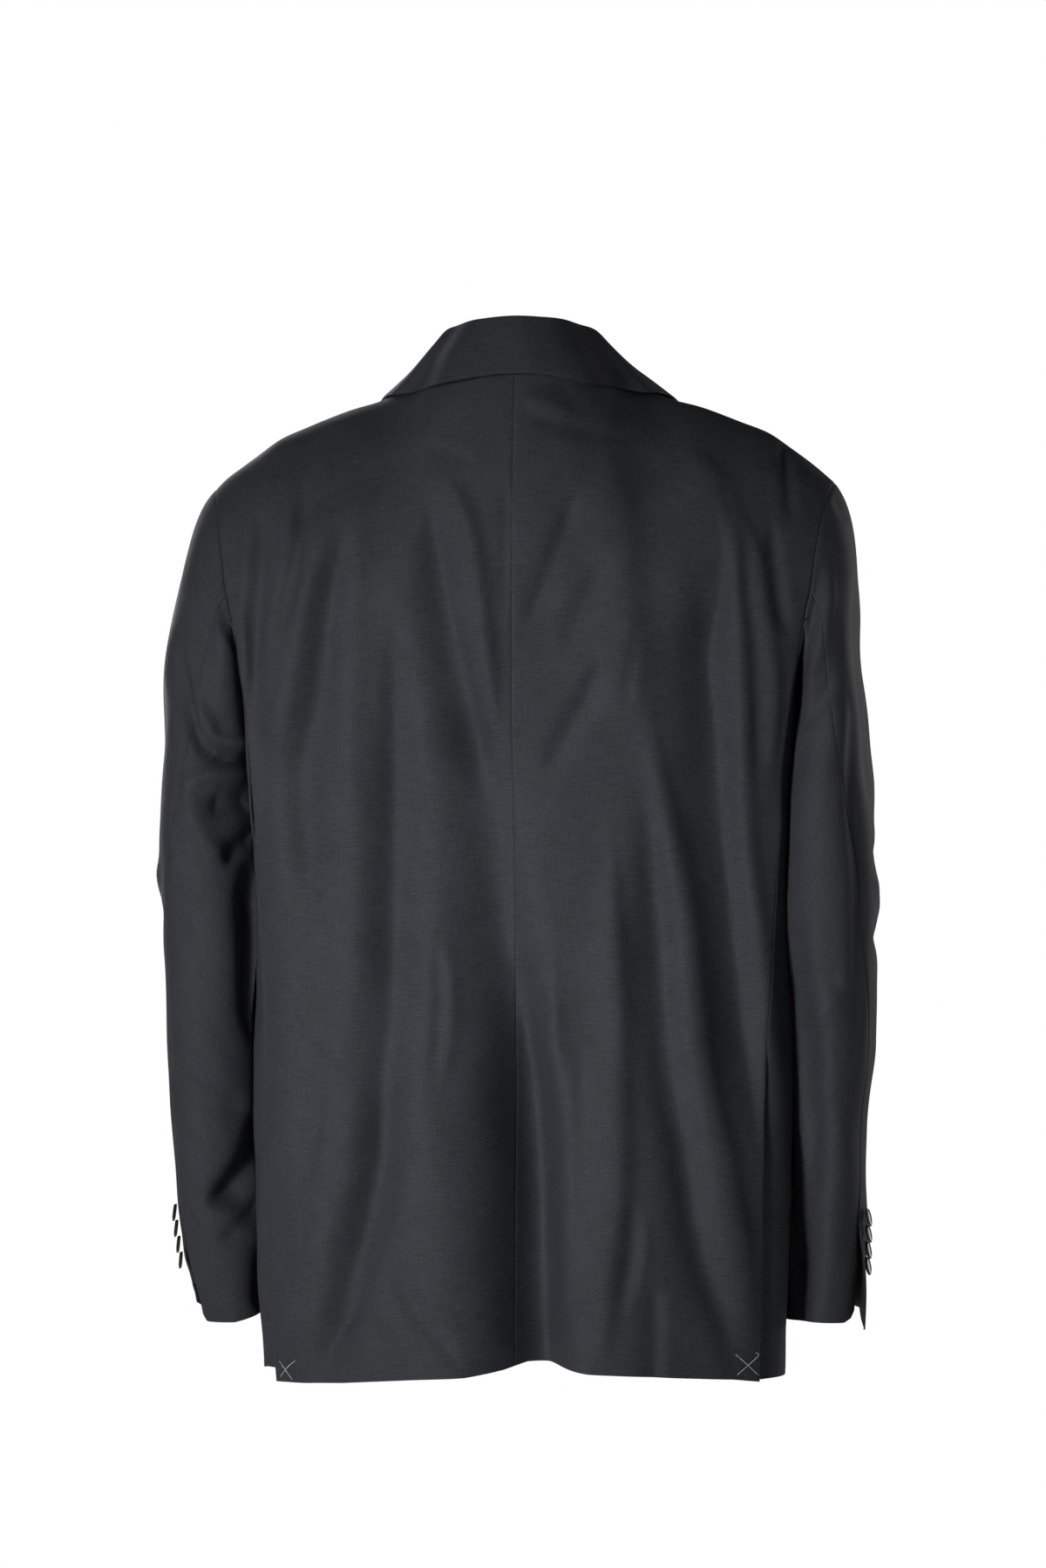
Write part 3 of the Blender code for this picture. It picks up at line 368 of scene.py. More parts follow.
# The back of the sleeves, in pixels of the picture.
SLEEVE_FOLDS = (
    # left
    Fold(-8.0, 9, 9, ((204, 745), (211, 795), (221, 832), (234, 855), (254, 868), (296, 874))),
    Fold(5.0, 9, 9, ((226, 800), (240, 838), (258, 852), (296, 855))),
    Fold(5.0, 9, 9, ((204, 902), (240, 890), (296, 887))),
    Fold(-7.0, 16, 14, ((236, 918), (262, 922), (296, 914))),
    Fold(6.0, 13, 13, ((214, 890), (222, 938), (242, 974), (264, 996))),
    Fold(-6.0, 10, 11, ((256, 992), (274, 972), (302, 955))),
    Fold(-10.0, 17, 14, ((286, 975), (291, 1050), (294, 1120), (299, 1210))),
    Fold(-2.0, 13, 13, ((198, 1000), (208, 1060), (215, 1120))),
    Fold(-6.0, 16, 14, ((192, 1230), (225, 1256), (255, 1268), (294, 1272))),
    Fold(-5.0, 12, 14, ((306, 1360), (296, 1384), (279, 1406), (250, 1430))),
    Fold(-5.0, 12, 11, ((310, 1420), (304, 1462), (300, 1510))),
    Fold(7.0, 14, 12, ((250, 690), (256, 730), (262, 780), (268, 830), (274, 880))),
    # right
    Fold(-2.0, 6, 5, ((951, 566), (962, 583), (976, 603))),
    Fold(4.5, 8, 9, ((953, 650), (948, 702), (941, 745), (925, 790))),
    Fold(-4.0, 8, 8, ((934, 635), (928, 700), (920, 755))),
    Fold(-3.5, 11, 9, ((958, 768), (938, 812), (917, 838))),
    Fold(3.5, 17, 15, ((966, 800), (958, 832), (948, 868), (932, 904))),
    Fold(-1.5, 8, 8, ((912, 872), (926, 878), (942, 886))),
    Fold(-4.0, 10, 8, (
        (970, 780), (979, 850), (979, 900), (982, 950), (986, 1010), (986, 1100), (983, 1180), (974, 1230),
    )),
    Fold(-3.0, 13, 12, ((924, 1110), (945, 1121), (968, 1128))),
    Fold(3.5, 12, 12, ((962, 1135), (950, 1157), (934, 1178))),
    Fold(2.5, 11, 11, ((952, 1180), (950, 1250), (947, 1310), (941, 1360))),
)
# The front, in mm: x and z.
FRONT_FOLDS = (
    Fold(-4.5, 20, 26, ((118, -170), (108, -300), (112, -450), (120, -600), (128, -760))),
    Fold(4.0, 22, 18, ((66, -330), (60, -480), (66, -640), (78, -780))),
    Fold(-4.5, 12, 14, ((190, -140), (182, -240), (168, -350), (164, -440))),
    Fold(3.5, 14, 16, ((160, -150), (152, -260), (146, -380))),
    Fold(-2.5, 9, 10, ((10, -421), (50, -405), (100, -386))),
    Fold(-2.0, 9, 10, ((8, -430), (55, -452), (100, -478))),
    Fold(-3.5, 16, 20, ((70, -590), (84, -690), (96, -800))),
    Fold(-4.5, 24, 18, ((-112, -175), (-104, -310), (-110, -460), (-122, -610), (-134, -770))),
    Fold(4.0, 18, 22, ((-62, -320), (-56, -480), (-64, -650), (-80, -790))),
    Fold(-4.5, 14, 12, ((-188, -150), (-180, -250), (-170, -360), (-160, -450))),
    Fold(3.0, 16, 14, ((-158, -160), (-150, -270), (-146, -390))),
    Fold(-2.5, 10, 9, ((-108, -392), (-60, -404), (-22, -418))),
    Fold(-3.5, 18, 16, ((-60, -600), (-72, -700), (-80, -810))),
    Fold(-4.0, 9, 10, ((216, -380), (245, -398), (282, -392))),
    Fold(-4.0, 9, 10, ((214, -432), (246, -446), (284, -436))),
    Fold(3.0, 10, 10, ((214, -406), (246, -424), (284, -414))),
    Fold(-3.0, 9, 9, ((216, -650), (246, -662), (276, -652))),
    Fold(-4.0, 9, 10, ((-276, -388), (-242, -402), (-214, -386))),
    Fold(3.0, 10, 10, ((-276, -412), (-243, -428), (-212, -414))),
    Fold(-4.0, 9, 10, ((-276, -440), (-242, -452), (-212, -440))),
    Fold(-3.0, 9, 9, ((-268, -668), (-240, -680), (-212, -670))),
)
# The sleeves' outer sides, in mm: y and z.
LEFT_FOLDS = (
    Fold(-2.5, 18, 16, ((24, -150), (30, -240), (28, -340))),
    Fold(3.0, 16, 16, ((-24, -140), (-20, -250), (-26, -360))),
    Fold(-3.5, 10, 11, ((-84, -398), (-30, -388), (36, -352))),
    Fold(3.0, 11, 11, ((-86, -424), (-20, -414), (44, -384))),
    Fold(-3.5, 10, 11, ((-88, -450), (-26, -446), (40, -424))),
    Fold(-3.0, 14, 14, ((-40, -500), (-62, -590), (-58, -680))),
    Fold(2.5, 14, 14, ((-70, -520), (-88, -600), (-86, -690))),
    Fold(-2.5, 10, 10, ((-100, -700), (-60, -690), (-24, -668))),
    Fold(5.0, 42, 42, ((-80, -228), (-20, -230), (70, -232))),
)
RIGHT_FOLDS = (
    Fold(-5.5, 42, 42, ((-80, -214), (-20, -216), (70, -216))),
    Fold(-2.5, 16, 18, ((22, -160), (26, -250), (20, -350))),
    Fold(3.0, 16, 16, ((-26, -150), (-24, -260), (-30, -370))),
    Fold(-3.5, 10, 11, ((-86, -404), (-32, -392), (34, -360))),
    Fold(3.0, 11, 11, ((-86, -430), (-24, -420), (40, -394))),
    Fold(-3.5, 10, 11, ((-88, -458), (-30, -452), (34, -434))),
    Fold(-3.0, 14, 14, ((-44, -510), (-60, -600), (-60, -690))),
    Fold(2.5, 14, 14, ((-74, -530), (-90, -610), (-88, -700))),
)
# Places moved straight into the picture or out of it: hollows beside the body in both
# sleeves and in the right back's edge, and the left back's edge, which stands out over its
# sleeve.
PRESSED = {
    ("sleeve", -1): (
        Fold(-20.0, 34, 16, (
            (914, 1030), (920, 1160), (929, 1250), (936, 1310), (925, 1375), (923, 1450), (916, 1570),
        )),
    ),
    ("sleeve", 1): (
        Fold(-20.0, 10, 32, ((303, 1258), (293, 1305), (277, 1340), (236, 1388))),
    ),
    ("body", -1): (
        Fold(-8.0, 3, 14, ((920, 750), (913, 800), (907, 850), (902, 900), (900, 960))),
    ),
    ("body", 1): (
        Fold(8.0, 16, 16, ((262, 650), (268, 720), (272, 780), (278, 850), (284, 910), (290, 980))),
    ),
}
RIPPLE = 0.00035  # the cloth's own slight unevenness


def ease(value, low, high):
    t = np.clip((value - low) / (high - low), 0.0, 1.0)
    return t * t * (3 - 2 * t)


def mix(a, b, share):
    return a + (b - a) * share


def unit(vectors):
    return vectors / np.maximum(np.linalg.norm(vectors, axis=-1, keepdims=True), 1e-12)


def spline(knots, count):
    """A natural cubic spline through knots along their first axis."""
    knots = np.asarray(knots, float)
    n = len(knots)
    if n == 2:
        t = np.linspace(0, 1, count).reshape(-1, *([1] * (knots.ndim - 1)))
        return mix(knots[0], knots[1], t)
    band = np.zeros((n, n))
    right = np.zeros_like(knots)
    band[0, 0] = band[-1, -1] = 1
    for k in range(1, n - 1):
        band[k, k - 1 : k + 2] = (1, 4, 1)
        right[k] = 6 * (knots[k - 1] - 2 * knots[k] + knots[k + 1])
    bend = np.linalg.solve(band, right.reshape(n, -1)).reshape(knots.shape)
    at = np.linspace(0, n - 1, count)
    k = np.minimum(at.astype(int), n - 2)
    t = (at - k).reshape(-1, *([1] * (knots.ndim - 1)))
    low = 1 - t
    straight = low * knots[k] + t * knots[k + 1]
    return straight + ((low**3 - low) * bend[k] + (t**3 - t) * bend[k + 1]) / 6


FOLD_TAPER = 0.45  # the share of its width that a fold loses towards its ends
FOLD_WIDENS = 0.30  # the shares of its length in which it widens, narrows and rises
FOLD_NARROWS = 0.25
FOLD_RISES = (-0.02, 0.24)
FOLD_REACH = 3.2  # half widths beyond which a fold is nothing
FACING = (0.05, 0.40)  # how far a place must face a view to take its folds


def stroke_height(fold, places):
    """The fold's height at places in its own plane."""
    line = spline(fold.path, 10 * len(fold.path))
    run = np.linalg.norm(np.diff(line, axis=0), axis=1)
    total = np.append(0, np.cumsum(run))
    best = np.full(places.shape[:-1], 1e9)
    side = np.zeros(places.shape[:-1])
    along = np.zeros(places.shape[:-1])
    for k in range(len(line) - 1):
        step = line[k + 1] - line[k]
        offset = places - line[k]
        t = np.clip(offset @ step / (step @ step), 0, 1)
        away = offset - t[..., None] * step
        far = np.hypot(away[..., 0], away[..., 1])
        near = far < best
        best = np.where(near, far, best)
        side = np.where(near, step[0] * offset[..., 1] - step[1] * offset[..., 0], side)
        along = np.where(near, total[k] + t * run[k], along)
    share = along / total[-1]
    width = np.where(side > 0, fold.left, fold.right)
    full = FOLD_TAPER * ease(share, 0.0, FOLD_WIDENS) * ease(1 - share, 0.0, FOLD_NARROWS)
    width = width * (1 - FOLD_TAPER + full)
    ends = ease(share, *FOLD_RISES) * ease(1 - share, *FOLD_RISES)
    return fold.height * 0.001 * ends * np.exp(-((best / width) ** 2))


def ripple(points):
    """A slight unevenness, the same each run."""
    x, y, z = np.moveaxis(points, -1, 0)
    waves = np.sin(88 * x + 31 * y + 17 * z + 0.7) + np.sin(-61 * x + 47 * y + 49 * z + 2.1)
    waves += 0.8 * np.sin(37 * x - 80 * y + 96 * z + 4.0) + 0.6 * np.sin(140 * x + 90 * y - 42 * z + 1.3)
    return RIPPLE * waves


# ---------------------------------------------------------------- the figure
def smooth(at, places, values):
    """A smooth curve through a table's values, without overshoot."""
    places = np.asarray(places, float)
    values = np.asarray(values, float)
    at = np.clip(np.asarray(at, float), places[0], places[-1])
    slopes = np.diff(values) / np.diff(places)
    before = slopes[:-1]
    after = slopes[1:]
    total = np.where(np.abs(before + after) < 1e-12, 1.0, before + after)
    inner = np.where(before * after > 0, 2 * before * after / total, 0.0)
    tangents = np.concatenate([[slopes[0]], inner, [slopes[-1]]])
    k = np.clip(np.searchsorted(places, at) - 1, 0, len(places) - 2)
    step = places[k + 1] - places[k]
    t = (at - places[k]) / step
    rise = t * t * (3 - 2 * t)
    start = step * tangents[k] * t * (1 - t) ** 2
    end = step * tangents[k + 1] * t * t * (t - 1)
    return values[k] * (1 - rise) + values[k + 1] * rise + start + end


def column(rows, name, at, key="z"):
    places = [getattr(row, key) for row in rows]
    values = [getattr(row, name) for row in rows]
    return smooth(at, places, values)


def edge_x(z, face):
    return column(SIDE_SEAMS, "back_x" if face > 0 else "front_x", z)


def shoulder_top(x):
    neck = mix(NAPE_Z, SHOULDER[0].z, (x / NECK_HALF) ** 2)
    return np.where(x < NECK_HALF, neck, column(SHOULDER, "z", x, "x"))


def neck_depth(x):
    share = np.minimum(x / NECK_HALF, 1.0)
    return NECK_BACK * np.sqrt(np.maximum(1 - share**NECK_POWER, 0.0))


def surface_depth(x, z, face):
    x, z = np.broadcast_arrays(np.abs(x), z)
    name = "back" if face > 0 else "front"
    middle = column(BODY, name + "_depth", z)
    edge = column(SIDE_SEAMS, name + "_y", z)
    across = np.minimum(x / edge_x(z, face), 1.0)
    tube = mix(middle, edge, across**BODY_ROUNDING)
    start = mix(CHEST_Z, ARMHOLE_Z, across)
    top = shoulder_top(x)
    up = np.clip((z - start) / np.maximum(top - start, 1e-6), 0.0, 1.0)
    round_in = mix(*ROUND_IN, across)
    round_out = mix(*ROUND_OUT, across)
    seam = neck_depth(x) if face > 0 else 0.0
    head = mix(seam, tube, (1 - up**round_in) ** (1 / round_out))
    return np.where(z <= start, tube, head)


def front_depth(x, z, side):
    depth = surface_depth(x, z, -1)
    if side < 0:
        under = (1 - ease(x, *UNDER_FRONT_ACROSS)) * ease(-z, *UNDER_FRONT_DOWN)
        depth = depth - UNDER_FRONT_DROP * under
    return depth


def front_point(x, z, side):
    x, z = np.broadcast_arrays(x, z)
    return np.stack([side * x, -front_depth(x, z, side), z], axis=-1)


def on_back(x, z, side, lift):
    step = 0.001
    across = (surface_depth(x + step, z, 1) - surface_depth(x - step, z, 1)) / (2 * step)
    up = (surface_depth(x, z + step, 1) - surface_depth(x, z - step, 1)) / (2 * step)
    normal = unit(np.stack([-across * side, np.ones_like(across), -up], axis=-1))
    depth = surface_depth(x, z, 1)
    return np.stack([side * x + 0 * depth, depth, z + 0 * depth], axis=-1) + normal * lift


def front_normal(x, z, side):
    step = 0.002
    across = front_point(x + step, z, side) - front_point(x - step, z, side)
    up = front_point(x, z + step, side) - front_point(x, z - step, side)
    return unit(np.cross(across, up) * side)


def on_front(x, z, side, lift):
    lift = np.asarray(lift, float)
    return front_point(x, z, side) + front_normal(x, z, side) * lift[..., None]


def hem_back(x):
    towards_middle = HEM_BACK_RISE * ease(0.19 - x, 0.0, HEM_RUN)
    raised_middle = HEM_BACK_RISE * np.exp(-((x / 0.034) ** 2))
    return HEM_BACK_Z + towards_middle + raised_middle


def hem_front(x):
    return HEM_FRONT_Z - HEM_FRONT_DROP * ease(0.20 - x, 0.0, HEM_RUN)


HEM_SIDE = float(hem_back(edge_x(-0.788, 1)))
NOTCH_Z = ARMHOLE_Z + ARMHOLE_HALF_HEIGHT * math.sin(NOTCH_ANGLE)


def roll_x(z):
    share = (z - BREAK_Z) / -BREAK_Z
    rolled = -FRONT_OVERLAP + (NECK_HALF + FRONT_OVERLAP) * share
    t = np.clip((CORNER_Z - z) / (CORNER_Z - hem_front(0.0)), 0.0, 1.0)
    cut = -FRONT_OVERLAP + CORNER_RUN * (1 - (1 - t ** CORNER_POWERS[0]) ** (1 / CORNER_POWERS[1]))
    return np.where(z > BREAK_Z, rolled, np.where(z > CORNER_Z, -FRONT_OVERLAP, cut))


# ---------------------------------------------------------------- rows and columns
TIGHT = (0.0, 0.0006, 0.0014, 0.0026, 0.0045, 0.0072)  # metres from a sewn edge


def spread(count, length, start=True, end=True):
    """Shares from 0 to 1 along a length, close together by a sewn edge."""
    tight = [t / length for t in TIGHT]
    low = tight if start else [0.0]
    high = [1 - t for t in tight][::-1] if end else [1.0]
    first, last = low[-1], high[0]
    middle = [mix(first, last, k / count) for k in range(1, count)]
    return np.array(low + middle + high)


# Counts of rows and columns, and the metres that they are spread over.
LOW_ROWS = spread(132, 0.60, end=False)
HIGH_ROWS = spread(44, 0.19, start=False)
BODY_HEIGHTS = mix(HEM_SIDE, NOTCH_Z, LOW_ROWS)
HIGH_ANGLES = mix(NOTCH_ANGLE, math.pi / 2, HIGH_ROWS)
HIGH_HEIGHTS = ARMHOLE_Z + ARMHOLE_HALF_HEIGHT * np.sin(HIGH_ANGLES)
HEIGHTS = np.concatenate([BODY_HEIGHTS, HIGH_HEIGHTS[1:]])
NOTCH_ROW = len(BODY_HEIGHTS) - 1
ROW_SHARES = (HEIGHTS - HEM_SIDE) / (SHOULDER_Z - HEM_SIDE)
SIDE_SHARES = spread(40, 0.150)
BACK_TOPS = SHOULDER_HALF * spread(84, SHOULDER_HALF)
FRONT_TOPS = mix(SHOULDER_HALF, NECK_HALF, spread(70, 0.225, end=False))
NECK_SOFT = 0.014  # how far softened() spreads the depth, and its steps
SOFT_STEP = 0.002


def back_grid(side):
    height = HEIGHTS[:, None]
    share = ROW_SHARES[:, None]
    outwards = BACK_TOPS / SHOULDER_HALF
    x = outwards * edge_x(height, 1)
    low = hem_back(outwards * edge_x(HEM_SIDE, 1))
    z = mix(low, shoulder_top(BACK_TOPS), share)
    grid = np.stack([side * x, surface_depth(x, z, 1), z], axis=-1)
    seen = to_picture(grid[0])
    wanted = np.interp(seen[:, 0], *zip(*HEM_LINE))
    rise = (seen[:, 1] - wanted) * HEM_PIXEL
    grid[..., 2] += rise * (1 - ease(grid[..., 2] - grid[:1, :, 2], 0.0, HEM_REACH))
    return softened(grid, ROW_SHARES)


def softened(grid, share):
    """The back's depth smoothed across, where the neck's end would leave a ridge."""
    even = np.arange(-0.300, 0.3001, SOFT_STEP)
    kernel = np.exp(-0.5 * (np.arange(-0.044, 0.0441, SOFT_STEP) / NECK_SOFT) ** 2)
    kernel /= kernel.sum()
    result = grid.copy()
    for row, up in zip(result, share):
        x = np.abs(row[:, 0])
        depth = np.interp(np.abs(even), x, row[:, 1])
        soft = np.interp(x, even, np.convolve(depth, kernel, mode="same"))
        weight = ease(x[-1] - x, 0.020, 0.060) * (1 - ease(up, 0.965, 0.995))
        row[:, 1] = mix(row[:, 1], soft, weight)
    return result


def front_grid(side):
    height = HEIGHTS[:, None]
    share = ROW_SHARES[:, None]
    inwards = (SHOULDER_HALF - FRONT_TOPS) / (SHOULDER_HALF - NECK_HALF)
    low = hem_front(mix(edge_x(HEM_SIDE, -1), -FRONT_OVERLAP, inwards))
    low = mix(HEM_SIDE, low, ease(inwards, 0.0, 0.12))
    z = mix(low, shoulder_top(FRONT_TOPS), share)
    inner = roll_x(mix(hem_front(0.0), 0.0, share))
    x = mix(edge_x(height, -1), inner, inwards)
    return front_point(x, z, side)


def side_x(t, z):
    back_x = edge_x(z, 1)
    front_x = edge_x(z, -1)
    bulge = column(BODY, "side", z) - mix(back_x, front_x, 0.5)
    return mix(back_x, front_x, t) + 4 * bulge * t * (1 - t) * (1.5 - t)


def side_grid(side):
    height = BODY_HEIGHTS[:, None]
    up = LOW_ROWS[:, None]
    t = SIDE_SHARES[None, :]
    angle = mix(NOTCH_ANGLE, -math.pi - NOTCH_ANGLE, t)
    z = mix(HEM_SIDE, ARMHOLE_Z + ARMHOLE_HALF_HEIGHT * np.sin(angle), up)
    back_y = surface_depth(edge_x(height, 1), height, 1)
    front_y = -surface_depth(edge_x(height, -1), height, -1)
    y = mix(back_y, front_y, t)
    reach = np.where(np.cos(angle) > 0, ARMHOLE_BACK, ARMHOLE_FRONT)
    y = mix(y, reach * np.cos(angle), up**6)
    y = y + (back_y - y[:, :1]) * ease(1 - t, 0.85, 1.0) + (front_y - y[:, -1:]) * ease(t, 0.85, 1.0)
    x = side_x(t, z)
    grid = np.stack([side * x, y + 0 * x, z], axis=-1)
    open_vent(side, grid)
    return grid


def open_vent(side, grid):
    """Below the vent's top the side body's back edge drops inwards and laps under the back."""
    inwards = np.array([-side * 0.55, -0.83, 0.0])
    backwards = np.array([-side * 0.83, 0.55, 0.0])
    below = VENT_TOP_Z - grid[:, :1, 2]
    k = SIDE_SHARES * 10
    drop = VENT_DROP * ease(below, 0.0, VENT_OPENS[0])
    lap = VENT_LAP * ease(below, *VENT_OPENS) - VENT_PART * ease(below, -0.010, 0.010)
    step = VENT_HEM_STEP[side] * ease(below, *VENT_HEM)
    grid += inwards * (drop * np.interp(k, (0, 1, 2), (1, 0.5, 0)))[..., None]
    grid += backwards * (lap * np.interp(k, (0, 1), (1, 0)))[..., None]
    grid[..., 2] += step * np.interp(k, (0, 1, 2, 3, 4, 5), (1, 1, 0.8, 0.5, 0.2, 0))


# ---------------------------------------------------------------- sleeves
HIND, UNDERARM, FORE, LOOP = 7.0, 13.0, 19.0, 26.0  # places round the armhole
CAP_ROWS = 40
ARM_ROWS = 108


def armhole_loop(back, side_body, front):
    """The armhole's points and their places round it."""
    points = [back[: NOTCH_ROW - 1 : -1, -1], side_body[-1, 1:], front[NOTCH_ROW + 1 :, 0]]
    places = [8 * (1 - HIGH_ROWS[::-1]), 8 + 10 * SIDE_SHARES[1:], 18 + 8 * HIGH_ROWS[1:]]
    return np.concatenate(points), np.concatenate(places)


def ring_angle(place, z):
    hind = float(column(RINGS, "hind_degrees", z))
    marks = (0, HIND, UNDERARM, FORE, LOOP)
    return np.radians(np.interp(place % LOOP, marks, (0, hind, 180, FORE_DEGREES, 360)))


def ring_points(side, place, z):
    angle = ring_angle(place, z)
    inner = column(RINGS, "inner", z) - SLEEVE_PRESS
    outer = column(RINGS, "outer_left" if side > 0 else "outer_right", z)
    front = column(RINGS, "front", z)
    back = column(RINGS, "back", z)
    across = np.sign(np.cos(angle)) * np.abs(np.cos(angle)) ** (2 / RING_POWER)
    along = np.sign(np.sin(angle)) * np.abs(np.sin(angle)) ** (2 / RING_POWER)
    x = (inner + outer) / 2 + (outer - inner) / 2 * across
    y = (front + back) / 2 + (back - front) / 2 * along
    return np.stack([side * x, y, np.full_like(x, z)], axis=-1)


def clear_of_body(side, points):
    x, y, z = side * points[:, 0], points[:, 1], points[:, 2]
    back_y = surface_depth(edge_x(z, 1), z, 1)
    front_y = -surface_depth(edge_x(z, -1), z, -1)
    t = (back_y - y) / (back_y - front_y)
    inside = (t > -0.15) & (t < 1.15)
    t = np.clip(t, 0.0, 1.0)
    angle = mix(NOTCH_ANGLE, -math.pi - NOTCH_ANGLE, t)
    below = ARMHOLE_Z + ARMHOLE_HALF_HEIGHT * np.sin(angle) - z
    least = side_x(t, z) + SEAM_GAP + SLEEVE_CLEAR * ease(below, -0.004, 0.030)
    x = np.where(inside & (below > 0), np.maximum(x, least), x)
    return np.stack([side * x, y, z], axis=-1)


def sleeve_grid(side, loop, places, wanted):
    """Rows down from the armhole to the cuff at the wanted places round it."""
    start = np.stack([np.interp(wanted % LOOP, places, loop[:, k]) for k in range(3)], axis=-1)
    end = ring_points(side, wanted, CAP_Z)
    below = ring_points(side, wanted, CAP_Z - CAP_STEP)
    drop = (start[:, 2] - end[:, 2])[:, None]
    height = (start[:, 2] - ARMHOLE_Z) / ARMHOLE_HALF_HEIGHT
    low_out = CAP_BACK_OUT * np.maximum(1 + height, 0.0) ** 1.5
    out = np.where(height > 0, mix(CAP_BACK_OUT, CAP_OUT[side], height), low_out)
    leave = np.zeros_like(start)
    leave[:, 0] = side * np.maximum(out, CAP_LEAST_OUT)
    leave[:, 2:] = -CAP_LEAVE_DROP * drop
    arrive = (below - end) / CAP_STEP * drop * CAP_ARRIVE_DROP
    rows = []
    for u in spread(CAP_ROWS, 0.16, end=False):
        near = 2 * u**3 - 3 * u**2 + 1
        row = near * start + (1 - near) * end
        row = row + (u**3 - 2 * u**2 + u) * leave + (u**3 - u**2) * arrive
        rows.append(clear_of_body(side, row) if u else row)
    for share in spread(ARM_ROWS, 0.452, start=False)[1:]:
        z = mix(CAP_Z, RINGS[0].z, share)
        rows.append(clear_of_body(side, ring_points(side, wanted, z)))
    return np.array(rows)


def pressed(part, side, grid, low, high):
    """The grid with its pressed places, which fade in between the depths low and high."""
    push = np.zeros(grid.shape[:2])
    for fold in PRESSED[part, side]:
        push += stroke_height(fold, to_picture(grid))
    push *= ease(grid[..., 1], low, high)
    return grid + TO_CAMERA * push[..., None]


# ---------------------------------------------------------------- shells
SHELL = 0.0014
LAID_SHELL = 0.0016


def grid_normals(grid, outwards):
    """Unit normals of a grid, on the side that agrees with outwards at most places."""
    down = np.gradient(grid, axis=0)
    across = np.gradient(grid, axis=1)
    normals = unit(np.cross(down, across))
    if np.sum(normals * outwards) < 0:
        normals = -normals
    return normals


def lengths(grid):
    """Each place's distance along its row from the first column, and down its column."""
    across = np.linalg.norm(np.diff(grid, axis=1), axis=-1)
    down = np.linalg.norm(np.diff(grid, axis=0), axis=-1)
    along = np.pad(np.cumsum(across, axis=1), ((0, 0), (1, 0)))
    return along, np.pad(np.cumsum(down, axis=0), ((1, 0), (0, 0)))


def at_length(at, run, line):
    """The places at given lengths along a line, with as many numbers each as the line has."""
    return np.stack([np.interp(at, run, column) for column in line.T], axis=-1)


def edge_distance(grid, edges):
    """Distance of each place to the named edges: low and high rows, first and last columns."""
    along, down = lengths(grid)
    options = {"first": along, "last": along[:, -1:] - along, "low": down, "high": down[-1:] - down}
    return np.minimum.reduce([options[edge] for edge in edges])


View = namedtuple("View", "name towards folds")
VIEWS = (
    View("back", TO_CAMERA, BACK_FOLDS),
    View("sleeve", TO_CAMERA, SLEEVE_FOLDS),
    View("front", np.array([0.0, -1.0, 0.0]), FRONT_FOLDS),
    View("left", np.array([1.0, 0.0, 0.0]), LEFT_FOLDS),
    View("right", np.array([-1.0, 0.0, 0.0]), RIGHT_FOLDS),
)


def view_places(name, grid):
    """A grid's places in a view, in its folds' own units."""
    if name in ("back", "sleeve"):
        return to_picture(grid)
    return grid[..., [0 if name == "front" else 1, 2]] * 1000


def drape_height(grid, normals, other="sleeve"):
    """The folds' height over a grid, without those of the other part."""
    total = np.zeros(grid.shape[:2])
    for view in VIEWS:
        faces = ease(normals @ view.towards, *FACING)
        if view.name == other or faces.max() <= 0:
            continue
        places = view_places(view.name, grid)
        low = places.reshape(-1, 2).min(0)
        high = places.reshape(-1, 2).max(0)
        for fold in view.folds:
            path = np.array(fold.path, float)
            reach = FOLD_REACH * max(fold.left, fold.right)
            if np.any(path.min(0) - reach > high) or np.any(path.max(0) + reach < low):
                continue
            total += faces * stroke_height(fold, places)
    return total + ripple(grid)


def leaned(grid):
    """Each shoulder lifted or lowered a little, as the worn jacket hangs."""
    result = grid.copy()
    lift = np.where(grid[..., 0] > 0, SHOULDER_LIFT[1], SHOULDER_LIFT[-1])
    result[..., 2] += lift * ease(np.abs(grid[..., 0]), *LEAN_ACROSS) * ease(grid[..., 2], *LEAN_UP)
    return result


def add_mesh(name, vertices, faces, uv=None, materials=(), face_materials=None, smooth_angle=50):
    data = bpy.data.meshes.new(name)
    data.from_pydata(vertices.tolist(), [], faces.tolist() if hasattr(faces, "tolist") else faces)
    if uv is not None:
        layer = data.uv_layers.new(name="cloth")
        corners = np.zeros(len(data.loops), dtype=np.int32)
        data.loops.foreach_get("vertex_index", corners)
        layer.data.foreach_set("uv", uv[corners].astype(np.float32).ravel())
    for material in materials:
        data.materials.append(material)
    if face_materials is not None:
        data.polygons.foreach_set("material_index", np.asarray(face_materials, dtype=np.int32))
    data.shade_smooth()
    data.set_sharp_from_angle(angle=math.radians(smooth_angle))
    thing = bpy.data.objects.new(name, data)
    bpy.context.scene.collection.objects.link(thing)
    return thing


